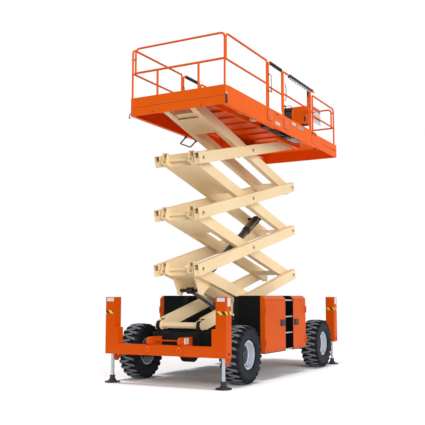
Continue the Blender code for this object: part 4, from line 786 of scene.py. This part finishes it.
def addPinEnd(bm, side, place):
    # the pin's domed end in its boss, with a grease nipple
    out, cap, stand = Vector((side, 0, 0)), armTrim["cap"], armTrim["stand"]
    face = place + out * (lift["outerFace"] + armTrim["boss"])
    addRound(bm, face, face + out * stand, cap, 20, tip=cap * 0.86, bevel=0.002)
    addRound(bm, face + out * stand, face + out * (stand + 0.005), 0.006, 8, tip=0.004)


def makeArmPins(stage):
    marks = [lift["armLength"] / 2] + [0.0] * (stage > 1) + [lift["armLength"]] * (stage < 4)
    bm = bmesh.new()
    for side in (-1, 1):
        for u in marks:
            addPinEnd(bm, side, armPoint("outer", stage, u))
    keepPiece(f"pinEnds_outer_{stage}", bm, pinSteel, f"outer_{stage}")


def makeArmStops(stage):
    # a rubber stop with its bolt on top of each inner arm's far end
    u, low = lift["armLength"] - armTrim["stopBack"], armTrim["stopLow"]
    at = armPoint("inner", stage, u, low)
    up = armPoint("inner", stage, u, low + 0.0235) - at
    outline = [(0, 0), (0, 0.026), (0.003, 0.026), (0.004, 0.02), (0.009, 0.018), (0.01, 0.014), (0.01, 0)]
    bm = bmesh.new()
    for side in (-1, 1):
        addSpun(bm, (side * armTrim["stopX"], at.y, at.z), up, outline, 16)
    keepPiece(f"armStops_{stage}", bm, darkSteel, f"inner_{stage}")


def makeArmHoses(stage, name):
    x, body = armHoses["x"], f"inner_{stage}"
    runs = [[Vector((x, *armPoint("inner", stage, u, w - drop).yz)) for u, w in armHoses["marks"]]
            for drop in (0.0, armHoses["pitch"])]
    hosePiece(f"armHoses_{name}", runs, armHoses["radius"], hoseRubber, body)
    # the clips are blocks in the arm's own lengths, turned and put on it together
    bm = bmesh.new()
    for u in armHoses["clips"]:
        addBlock(bm, (x - 0.014, u - 0.016, -0.094), (x + 0.0145, u + 0.016, -0.036), 0.004)
    turn = Matrix.Rotation(-lift["armAngle"], 4, "X")
    bmesh.ops.transform(bm, matrix=Matrix.Translation(armPoint("inner", stage, 0.0)) @ turn, verts=bm.verts)
    keepPiece(f"hoseClips_{name}", bm, zincSteel, body)


for stage in range(1, 5):
    makeArmPins(stage)
    makeArmStops(stage)
for stage, name in ((2, "second"), (3, "third")):
    makeArmHoses(stage, name)
print("arm fittings made")


# lift cylinders: a hard line along each barrel, clamps and gland, and the guard on the upper rod

cylinderTrim = {"barrelR": 0.068, "pipeR": 0.009, "lineR": 0.007, "sleeveIn": 0.0805, "sleeveOut": 0.085,
                "sleeveStart": 0.072, "sleeveEnd": 0.575}
cylinders = [
    # word, foot, head, barrel's length, start and end of its pipe
    ("lower", machine(0, 0.7, 0.7), armPoint("inner", 1, 0.42, -0.26), 1.62, 0.16, 1.5),
    ("upper", armPoint("inner", 1, 0.75), armPoint("inner", 3, 3.1), 2.07, 0.16, 1.42),
]


def pipeRun(low, high, out, way, foot, stand):
    # out of its port, along the cylinder, and back into the next port
    off = out * stand
    return [low + out * foot, low + off, low + off + way * 0.05, (low + high) / 2 + off,
            high + off - way * 0.05, high + off, high + out * foot]


def makeCylinderLines(word, base, head, length, start, end):
    way = (head - base).normalized()
    out = (Vector((0, -way.z, way.y)) * 0.35 + Vector((1, 0, 0))).normalized()
    barrelR, body = cylinderTrim["barrelR"], word + "_barrel"
    stand, bandIn, bandOut = barrelR + 0.016, barrelR - 0.004, barrelR + 0.0025
    low, high = base + way * start, base + way * end
    pipe = pipeRun(low, high, out, way, 0.06, stand)
    hosePiece("cylinderPipe_" + word, [pipe], cylinderTrim["pipeR"], zincSteel, body)
    outline = [(0, bandIn), (0, bandOut), (0.024, bandOut), (0.024, bandIn)]
    bm = bmesh.new()
    for share in (0.25, 0.55, 0.85):
        band = low.lerp(high, share)
        addSpun(bm, band - way * 0.012, way, outline, 24)
        clamp = band + out * (stand - 0.003)
        addRound(bm, clamp - way * 0.012, clamp + way * 0.012, 0.014, 10)
    for port in (low, high):
        addRound(bm, port + out * 0.055, port + out * 0.08, 0.015, 6)
    addSpun(bm, base + way * (length - 0.004), way,
            [(0, 0.041), (0, 0.0785), (0.006, 0.079), (0.012, 0.074), (0.013, 0.046), (0.013, 0.041)], 28)
    keepPiece("barrelFittings_" + word, bm, darkSteel, body)


def makeRodSleeve(base, head):
    # a dark guard round the upper rod that runs over the barrel, with a thin line on its side
    way = (base - head).normalized()
    out = (Vector((0, way.z, -way.y)) * 0.35 + Vector((1, 0, 0))).normalized()
    low, high, start = cylinderTrim["sleeveIn"], cylinderTrim["sleeveOut"], cylinderTrim["sleeveStart"]
    long = cylinderTrim["sleeveEnd"] - start
    outline = [(0, 0.036), (0, high - 0.006), (0.006, high), (0.03, high), (0.034, high - 0.002),
               (long - 0.03, high - 0.002), (long - 0.026, high), (long, high), (long, low), (0.012, low),
               (0.012, 0.036)]
    turnedPiece("rodSleeve", head + way * start, way, outline, 28, barrelPaint, "upper_rod", sharp=50)
    run = pipeRun(head + way * 0.1, head + way * 0.52, out, way, high - 0.004, high + 0.01)
    hosePiece("rodSleeveLine", [run], cylinderTrim["lineR"], zincSteel, "upper_rod")


for row in cylinders:
    makeCylinderLines(*row)
makeRodSleeve(*cylinders[1][1:3])
print("cylinder fittings made")


# foam grips on the side gates

gripMake = {"near": -0.346, "far": 0.198, "z": 5.7345, "full": 0.0325, "groove": 0.0285, "ribs": 13,
            "end": 0.015}


def makeGrip(word, side):
    # a ribbed foam sleeve on the gate's top bar, moving with the gate
    near, far, z, full, groove, ribs, end = gripMake.values()
    long = far - near
    pitch = (long - 2 * end) / ribs
    outline = [(0, 0), (0, 0.021), (0.004, 0.027), (0.01, 0.0305)]
    for index in range(ribs):
        a = end + pitch * index
        outline += [(a, full - 0.001), (a + pitch * 0.1, full), (a + pitch * 0.66, full),
                    (a + pitch * 0.76, full - 0.001), (a + pitch * 0.82, groove), (a + pitch * 0.94, groove)]
    outline += [(long - 0.01, 0.0305), (long - 0.004, 0.027), (long, 0.021), (long, 0)]
    start = machine(side * lift["railX"], near, z)
    grip = turnedPiece("foamGrip_" + word, start, (0, 1, 0), outline, 22, foamGrip, word + "_gate", sharp=50)


# gate hardware: a spring wire with a pull ring on the hinge post, a chain on the rail's far post

latchMake = {"wireR": 0.0062, "ringR": 0.021, "stand": 0.024, "foot": 0.012, "collars": (5.49, 5.174),
             "postY": -0.417}
chainMake = {"links": 11, "pitch": 0.0285, "top": 5.475, "postY": 0.352, "sag": 0.022, "half": 0.0045,
             "long": 0.016, "wireR": 0.0042}


def makeGateLatches(word, side):
    wireR, ringR, stand, foot, collars, postY = latchMake.values()
    x, inner, gate = side * (lift["railX"] + stand), side * (lift["railX"] + foot), word + "_gate"
    run = machineRun((inner, -0.415, 5.49), (x, -0.395, 5.492), (x, -0.345, 5.494), (x, -0.33, 5.48),
                     (x, -0.33, 5.4), (x, -0.33, 5.26), (x, -0.332, 5.215))
    ring = circleRun(machine(x, -0.335, 5.19), ringR, 12, (0, 1, 0))
    tail = machineRun((x, -0.35, 5.18), (x, -0.385, 5.176), (inner, -0.41, 5.174))
    hosePiece("gateWire_" + word, [run, ring, tail], wireR, darkSteel, gate)
    bm = bmesh.new()
    for z in collars:
        addSpun(bm, machine(side * lift["railX"], postY, z - 0.016), (0, 0, 1),
                [(0, 0.018), (0, 0.0225), (0.032, 0.0225), (0.032, 0.018)], 16)
    keepPiece("gateWireCollars_" + word, bm, darkSteel, gate)


def makeGateChain(word, side):
    links, pitch, top, postY, sag, half, long, wireR = chainMake.values()
    x, inner = side * (lift["railX"] + latchMake["stand"]), side * (lift["railX"] + latchMake["foot"])
    runs = []
    for step in range(links):
        z = top - step * pitch
        y = postY + sag * math.sin(math.pi * step / (links - 1))
        a, b = (half, 0.0) if step % 2 else (0.0, half)
        corners = ((-1, 1), (1, 1), (1, -1), (-1, -1), (-1, 1))
        runs.append([machine(x + a * across, y + b * across, z + long * up) for across, up in corners])
    for z, end in ((5.5, 5.487), (5.17, 5.18)):
        level = z + (0.002 if z > 5.3 else -0.002)
        runs.append(machineRun((inner, 0.285, z), (x, 0.32, level), (x, postY, end)))
    hosePiece("gateChain_" + word, runs, wireR, darkSteel, "platform")


# the moulded saddle over the right rail's top, with pale clips under it

barMake = {"near": 0.6, "far": 1.768, "low": 5.722, "high": 5.7672, "half": 0.024, "teeth": 9}


def makeNotchedBar():
    x = lift["railX"]
    near, far, low, high, half, count = barMake.values()
    blocks = [((x - half, near, low), (x + half, far, high), 0.008, 2)]
    for y in (near - 0.02, far - 0.02):
        blocks.append(((x - 0.028, y, 5.7), (x + 0.028, y + 0.035, 5.764), 0.006, 2))
    blockPiece("railSaddle", blocks, blackPlastic, "platform")
    step = (far - near) / count
    middles = [near + step * (index + 0.5) for index in range(count)]
    teeth = [((x - 0.013, y - 0.034, 5.672), (x + 0.013, y + 0.024, 5.7235)) for y in middles]
    blockPiece("saddleClips", teeth, zincSteel, "platform", bevel=0.008, steps=2)


# a blank sheet in a holder, hung inside the extension's right rail

placardMake = {"x": 0.838, "near": 2.02, "far": 2.53, "low": 5.135, "split": 5.4005, "high": 5.482}


def makePlacard():
    x, near, far, low, split, high = placardMake.values()
    sheet = [((x - 0.0012, near, low), (x + 0.0012, far, split + 0.0005))]
    blockPiece("placardSheet", sheet, whitePlate, "extension", bevel=0.0005)
    header = [((x - 0.0016, near, split - 0.0005), (x + 0.0016, far, high))]
    blockPiece("placardHeader", header, redPlate, "extension", bevel=0.0005)
    clips = [((x - 0.003, y - 0.012, 5.228), (x + 0.0035, y + 0.012, 5.272), 0.0015, 1)
             for y in (near + 0.03, (near + far) / 2, far - 0.03)]
    clips.append(((x - 0.0024, near - 0.004, low - 0.005), (x + 0.0024, far + 0.004, low + 0.004), 0.001, 1))
    blockPiece("placardClips", clips, zincSteel, "extension")


# side boards: channel covers at the feet of the gate's posts, blank plates and a hook between them

boardMake = {
    "seamZ": 4.675, "plateX": 0.94, "boardX": 0.9315, "gap": 0.006,
    # near, far, low and high edge of each cover
    "covers": ((-0.52, -0.3, 4.615, 4.815), (0.23, 0.47, 4.605, 4.805)),
}


def makeBoardTrim(word, side):
    face, skin, gap = boardMake["plateX"], boardMake["boardX"], boardMake["gap"]
    gaps = [((face - 0.001, near - gap, low - gap), (face + 0.0012, far + gap, high + gap))
            for near, far, low, high in boardMake["covers"]]
    blockPiece("coverGaps_" + word, gaps, darkSteel, "platform", side=side)
    covers = [((face, near, low), (face + 0.01, far, high)) for near, far, low, high in boardMake["covers"]]
    blockPiece("channelCovers_" + word, covers, orangeTrim, "platform", side, 0.004, 2)
    plates = [((face - 0.0005, -0.16, 4.604), (face + 0.0014, 0.06, 4.662)),
              ((skin, 0.66, 4.768), (skin + 0.0019, 0.86, 4.822))]
    blockPiece("boardPlates_" + word, plates, whitePlate, "platform", side=side, bevel=0.0005)
    grey = [((skin, 0.98, 4.758), (skin + 0.0019, 1.26, 4.812))]
    blockPiece("boardPlateGrey_" + word, grey, greyTray, "platform", side=side, bevel=0.0005)
    bends = ((0, -0.098, 4.8), (0.02, -0.095, 4.8), (0.024, -0.083, 4.784), (0.02, -0.07, 4.8),
             (0, -0.068, 4.8))
    hook = [machine(side * (face + out), y, z) for out, y, z in bends]
    hosePiece("boardHook_" + word, [hook], 0.006, darkSteel, "platform")


# the bolted plate and the roller under the extension's side board, at the end of the deck

rollerMake = {"near": 1.72, "far": 1.93, "y": 2.01, "z": 4.528, "face": 0.9415}


def makeRollerBracket(word, side):
    skin = boardMake["boardX"]
    near, far, y, z, face = rollerMake.values()
    plates = [((skin, near, 4.6), (face, far, 4.846), 0.003, 1)]
    plates += [((face - 0.001, a, 4.605), (face + 0.006, a + 0.03, 4.775), 0.002, 1) for a in (1.755, 1.865)]
    plates.append(((skin, y - 0.035, 4.496), (skin + 0.008, y + 0.035, 4.6), 0.003, 1))
    blockPiece("rollerBracket_" + word, plates, orangeTrim, "platform", side)
    bm = bmesh.new()
    bolts = [(a, 4.818) for a in (1.745, 1.795, 1.855, 1.905)] + [(1.745, 4.786), (1.905, 4.786)]
    for boltY, boltZ in bolts:
        addBolt(bm, machine(side * face, boltY, boltZ), (side, 0, 0), 0.011, 0.01)
    addBolt(bm, machine(side * (skin + 0.008), y, z), (side, 0, 0), 0.012, 0.01)
    keepPiece("rollerBolts_" + word, bm, darkSteel, "platform")
    outline = [(0, 0), (0, 0.011), (0.002, 0.012), (0.002, 0.023), (0.006, 0.0275), (0.026, 0.0275),
               (0.03, 0.023), (0.03, 0.012), (0.046, 0.012), (0.046, 0)]
    turnedPiece("deckRoller_" + word, machine(side * 0.886, y, z), (side, 0, 0), outline, 24,
                blackPlastic, "platform")


# the near board: folded seam, two plugged holes, corner latch and hook, and the rails' clamps

cornerMake = {"out": 0.931, "clampY": -2.147, "leftClamps": (5.55, 5.29), "rightClamps": (5.62, 5.36)}


def makeNearBoard():
    z, near, deckX, out = boardMake["seamZ"], lift["deckNear"], lift["deckX"], cornerMake["out"]
    bm = bmesh.new()
    addBlocks(bm, [((-deckX, near - 0.0006, z - 0.0028), (deckX, near + 0.001, z + 0.0028))])
    for x in (-0.48, 0.474):
        addSpun(bm, machine(x, near + 0.001, 4.566), (0, -1, 0),
                [(0, 0), (0, 0.012), (0.002, 0.012), (0.0028, 0.009), (0.0028, 0)], 16)
    keepPiece("boardSeam", bm, darkSteel, "platform")
    latch = [((out, near + 0.002, 4.548), (out + 0.016, near + 0.062, 4.7)),
             ((out, near + 0.01, 4.54), (out + 0.022, near + 0.05, 4.6))]
    blockPiece("cornerLatch", latch, blackPlastic, "platform", bevel=0.005, steps=2)
    turnedPiece("cornerLatchCap", machine(out + 0.0005, near + 0.032, 4.706), (1, 0, 0),
                [(0, 0), (0, 0.026), (0.012, 0.026), (0.016, 0.021), (0.016, 0)], 20, palePlastic, "platform")
    bends = ((-0.93, 4.6), (-0.955, 4.6), (-0.985, 4.555), (-0.99, 4.515), (-0.972, 4.5), (-0.96, 4.52))
    hook = [machine(x, near + 0.03, z) for x, z in bends]
    hosePiece("cornerHook", [hook], 0.008, darkSteel, "platform")


def makeRailClamps():
    y, left, right = cornerMake["clampY"], cornerMake["leftClamps"], cornerMake["rightClamps"]
    clamps = [((-0.93, y - 0.013, z - 0.016), (-0.838, y + 0.013, z + 0.016)) for z in left]
    clamps += [((0.9, y - 0.01, z - 0.016), (0.926, y + 0.058, z + 0.016)) for z in right]
    blockPiece("railClamps", clamps, orangeTrim, "platform", bevel=0.004, steps=2)
    bm = bmesh.new()
    for z in left:
        addBolt(bm, machine(-0.883, y - 0.013, z), (0, -1, 0), 0.009, 0.009)
    for z in right:
        addBolt(bm, machine(0.926, y + 0.022, z), (1, 0, 0), 0.009, 0.009)
    keepPiece("railClampBolts", bm, zincSteel, "platform")


for word, side in (("left", -1), ("right", 1)):
    makeGrip(word, side)
    makeGateLatches(word, side)
    makeGateChain(word, side)
    makeBoardTrim(word, side)
    makeRollerBracket(word, side)
makeNotchedBar()
makePlacard()
makeNearBoard()
makeRailClamps()
print("platform fittings made")


# under the deck: boxes between the ribs, a tray and a bundle of hoses along the right side

underDeck = [
    # name, x from, x to, y from, y to, underside, finish
    ("valveBox", 0.545, 0.66, -0.48, -0.34, 4.65, palePlastic),
    ("relayBox", 0.47, 0.62, -0.93, -0.74, 4.712, palePlastic),
    ("pumpBox", 0.56, 0.7, 0.02, 0.25, 4.625, blackPlastic),
    ("hoseBox", 0.56, 0.7, 0.98, 1.15, 4.612, blackPlastic),
    ("smallBox", 0.75, 0.81, 0.42, 0.56, 4.7, redPlate),
]
trayMake = {"lowX": 0.58, "highX": 0.745, "near": 1.185, "far": 1.6, "low": 4.608, "high": 4.63,
            "top": 4.7765}
deckHoses = {"x": 0.58, "pitch": 0.028, "count": 4, "z": 4.628, "radius": 0.012}


def makeUnderBox(name, lowX, highX, near, far, low, finish):
    top = trayMake["top"]
    bm = bmesh.new()
    addBlocks(bm, [((lowX, near, low), (highX, far, top), 0.007, 2),
                   ((lowX - 0.012, near - 0.012, top - 0.01), (highX + 0.012, far + 0.012, top), 0.002, 1)])
    for x in (lowX + 0.02, highX - 0.02):
        for y in (near + 0.02, far - 0.02):
            addBolt(bm, machine(x, y, low), (0, 0, -1), 0.006, 0.004)
    keepPiece(name, bm, finish, "platform")


def makeCableTray():
    # a pale tray hung by four straps from the deck, with a sunk middle
    lowX, highX, near, far, low, high, top = trayMake.values()
    blocks = [((lowX, near, low), (highX, far, high), 0.006, 2),
              ((lowX + 0.03, near + 0.04, low - 0.004), (highX - 0.03, far - 0.04, low + 0.002), 0.0018, 1)]
    blockPiece("cableTray", blocks, greyTray, "platform")
    straps = [((x - 0.003, y - 0.015, low - 0.002), (x + 0.003, y + 0.015, top))
              for x in (lowX + 0.012, highX - 0.012) for y in (near + 0.05, far - 0.05)]
    blockPiece("trayStraps", straps, darkSteel, "platform", bevel=0.001)


def makeDeckHoses():
    first, pitch, count, level, radius = deckHoses.values()
    runs = []
    for index in range(count):
        x = first + pitch * index
        z = level - 0.004 * (index % 2)
        runs.append(machineRun((x, 0.2, 4.665), (x, 0.3, 4.662), (x, 0.42, z), (x + 0.006, 0.6, z - 0.012),
                               (x + 0.004, 0.75, z - 0.01), (x, 0.88, z), (x, 0.95, 4.65), (x, 1.02, 4.655)))
    hosePiece("deckHoses", runs, radius, hoseRubber, "platform")


for row in underDeck:
    makeUnderBox(*row)
makeCableTray()
makeDeckHoses()
print("pieces under the deck made")


# the control box: console with stick, stop button and switches, and the latch on the box

consoleMake = {"stickX": 0.37, "buttonX": 0.475, "face": 1.66, "slopeY": 1.71, "slopeZ": 5.372, "near": 1.7}


def makeConsole():
    up = Vector((0, -1, 1)).normalized()
    middle = machine(0, consoleMake["slopeY"], consoleMake["slopeZ"]) - up * 0.002
    outline = [(0, 0), (0, 0.036), (0.006, 0.036), (0.01, 0.03), (0.016, 0.031), (0.021, 0.023),
               (0.027, 0.024), (0.033, 0.011), (0.075, 0.009), (0.078, 0.014), (0.09, 0.017), (0.11, 0.017),
               (0.118, 0.012), (0.12, 0)]
    turnedPiece("controlStick", middle + Vector((consoleMake["stickX"], 0, 0)), up, outline, 20,
                blackPlastic, "platform")
    guard = machineRun((0.305, 1.655, 5.325), (0.305, 1.615, 5.37), (0.315, 1.64, 5.43), (0.415, 1.64, 5.43),
                       (0.52, 1.64, 5.43), (0.526, 1.615, 5.37), (0.526, 1.655, 5.325))
    hosePiece("consoleGuard", [guard], 0.007, darkSteel, "platform")
    outline = [(0, 0), (0, 0.012), (0.012, 0.012), (0.014, 0.021), (0.024, 0.021), (0.028, 0.016), (0.029, 0)]
    turnedPiece("stopButton", middle + Vector((consoleMake["buttonX"], 0, 0)), up, outline, 20,
                redPlate, "platform")


def makeConsolePanel():
    # a plate with four knobs over three switches
    face = consoleMake["face"]
    bm = bmesh.new()
    addBlocks(bm, [((0.322, face - 0.0025, 5.155), (0.508, face + 0.001, 5.3), 0.001, 1)])
    for x in (0.345, 0.385, 0.425, 0.465):
        addRound(bm, machine(x, face - 0.001, 5.265), machine(x, face - 0.016, 5.265), 0.01, 12, bevel=0.002)
    for x, low, high in ((0.345, 5.17, 5.235), (0.405, 5.175, 5.225), (0.465, 5.17, 5.235)):
        addBlocks(bm, [((x, face - 0.008, low), (x + 0.03, face, high), 0.002, 1)])
    keepPiece("consolePanel", bm, darkSteel, "platform")


def makeBoxTrim():
    near = consoleMake["near"]
    latch = [((0.786, near - 0.01, 5.075), (0.818, near + 0.001, 5.175), 0.004, 2),
             ((0.792, near - 0.016, 5.1), (0.812, near - 0.008, 5.15), 0.003, 2)]
    blockPiece("boxLatch", latch, blackPlastic, "platform")
    hems = [((0.532, near - 0.0015, low), (0.822, near + 0.02, high))
            for low, high in ((5.386, 5.404), (5.018, 5.032))]
    blockPiece("boxHems", hems, orangeTrim, "platform", bevel=0.002)


def makeConsoleLead():
    lead = machineRun((0.42, 1.9, 5.16), (0.42, 1.935, 5.15), (0.44, 1.95, 5.1), (0.5, 1.945, 5.055),
                      (0.58, 1.94, 5.075), (0.6, 1.925, 5.11))
    hosePiece("consoleLead", [lead], 0.008, hoseRubber, "platform")


makeConsole()
makeConsolePanel()
makeBoxTrim()
makeConsoleLead()
print("control box made")


# chassis ends: lashing rings, striped plates and the pin of each towing block

towTrim = {"x": 0.29, "face": 2.528, "ringR": 0.034, "wireR": 0.0075, "ringZ": 0.565, "pinY": 2.463,
           "pinZ": 0.692}


def makeTowTrim(word, end, side, name):
    x, face, ringR, wireR, z, pinY, pinZ = towTrim.values()
    x, face, where = side * x, end * face, f"{word}_{name}"
    ring = circleRun(machine(x, face + end * 0.01, z), ringR, 16, (1, 0, 0))
    hosePiece("lashingRing_" + where, [ring], wireR, orangeTrim, "chassis")
    low, high = sorted((face - end * 0.002, face + end * 0.02))
    bm = bmesh.new()
    addBlocks(bm, [((x - 0.012, low, z + 0.018), (x + 0.012, high, z + 0.052), 0.004, 2)])
    addSpun(bm, machine(x - side * 0.034, end * pinY, pinZ), (side, 0, 0),
            [(0, 0), (0, 0.017), (0.066, 0.017), (0.069, 0.012), (0.069, 0)], 18)
    keepPiece("towPin_" + where, bm, orangeTrim, "chassis")
    a, b = sorted((end * 2.42, end * 2.27))
    plate = [((0.3195, a, 0.65), (0.3212, b, 0.745))]
    blockPiece("towPlate_" + where, plate, stripedPlate, "chassis", side=side, bevel=0.0005)


for word, end in (("rear", -1), ("front", 1)):
    for side, name in ((-1, "left"), (1, "right")):
        makeTowTrim(word, end, side, name)
print("chassis ends made")


# floor, light and camera

def makeFloor():
    # matt and pale, fading out to the white backdrop well outside the machine, and clear from below
    material, tree, place = startMaterial("studioFloor", 0.0)
    setSurface(tree, (0.93, 0.93, 0.935, 1), 0.9)
    reach = mathNode(tree, "LENGTH", place, kind="VectorMath", output="Value")
    below = addNode(tree, "NewGeometry").outputs["Backfacing"]
    fade = mathNode(tree, "MAXIMUM", rampNode(tree, reach, 4.5, 11.0), below)
    matt, clear = tree.nodes["Principled BSDF"].outputs[0], addNode(tree, "BsdfTransparent").outputs[0]
    blend = addNode(tree, "MixShader", [(0, fade), (1, matt), (2, clear)])
    feed(tree, tree.nodes["Material Output"].inputs["Surface"], blend.outputs[0])
    bm = bmesh.new()
    bmesh.ops.create_grid(bm, x_segments=2, y_segments=2, size=60.0)
    mesh = bpy.data.meshes.new("studioFloor")
    bm.to_mesh(mesh)
    bm.free()
    mesh.materials.append(material)
    floor = bpy.data.objects.new("studioFloor", mesh)
    bpy.context.scene.collection.objects.link(floor)


def makeWorld():
    # light from above and less from below the floor's edge, in front of a plain white backdrop
    world = bpy.data.worlds.new("studioWorld")
    bpy.context.scene.world = world
    world.use_nodes = True
    tree = world.node_tree
    tree.nodes.clear()
    aim = addNode(tree, "TexCoord").outputs["Generated"]
    strength = addShare(tree, 0.13, rampNode(tree, splitNode(tree, aim)["Z"], -0.12, 0.12), 0.35)
    sky = addNode(tree, "Background", [("Color", (0.96, 0.98, 1.0, 1)), ("Strength", strength)])
    seen = addNode(tree, "Background", [("Color", (1, 1, 1, 1))])
    path = addNode(tree, "LightPath").outputs
    shown = mathNode(tree, "MAXIMUM", path["Is Camera Ray"], path["Is Glossy Ray"])
    shown = mathNode(tree, "MAXIMUM", shown, path["Is Transmission Ray"])
    mix = addNode(tree, "MixShader", [(0, shown), (1, sky.outputs[0]), (2, seen.outputs[0])])
    addNode(tree, "OutputWorld", [(0, mix.outputs[0])])


def makeSun(name, strength, angle, turn, tilt, colour=(1, 1, 1)):
    lamp = bpy.data.lights.new(name, "SUN")
    lamp.energy = strength
    lamp.angle = math.radians(angle)
    lamp.color = colour
    holder = bpy.data.objects.new(name, lamp)
    bpy.context.scene.collection.objects.link(holder)
    holder.rotation_euler = (math.radians(tilt), 0, math.radians(turn))


cameraSetup = {"place": (6.329, -12.856, 1.396), "turn": (96.585, 0.0, 28.68), "lens": 61.97}


def makeCamera():
    data = bpy.data.cameras.new("photoCamera")
    data.lens = cameraSetup["lens"]
    data.clip_end = 300
    holder = bpy.data.objects.new("photoCamera", data)
    bpy.context.scene.collection.objects.link(holder)
    holder.location = cameraSetup["place"]
    holder.rotation_euler = [math.radians(a) for a in cameraSetup["turn"]]
    bpy.context.scene.camera = holder


makeFloor()
makeWorld()
makeSun("topSun", 1.9, 7, -160, 4)
makeSun("sideSun", 2.0, 40, 54, 74, (1.0, 0.98, 0.96))
makeCamera()
bpy.context.scene.view_settings.view_transform = "Standard"
print("floor, light and camera made")
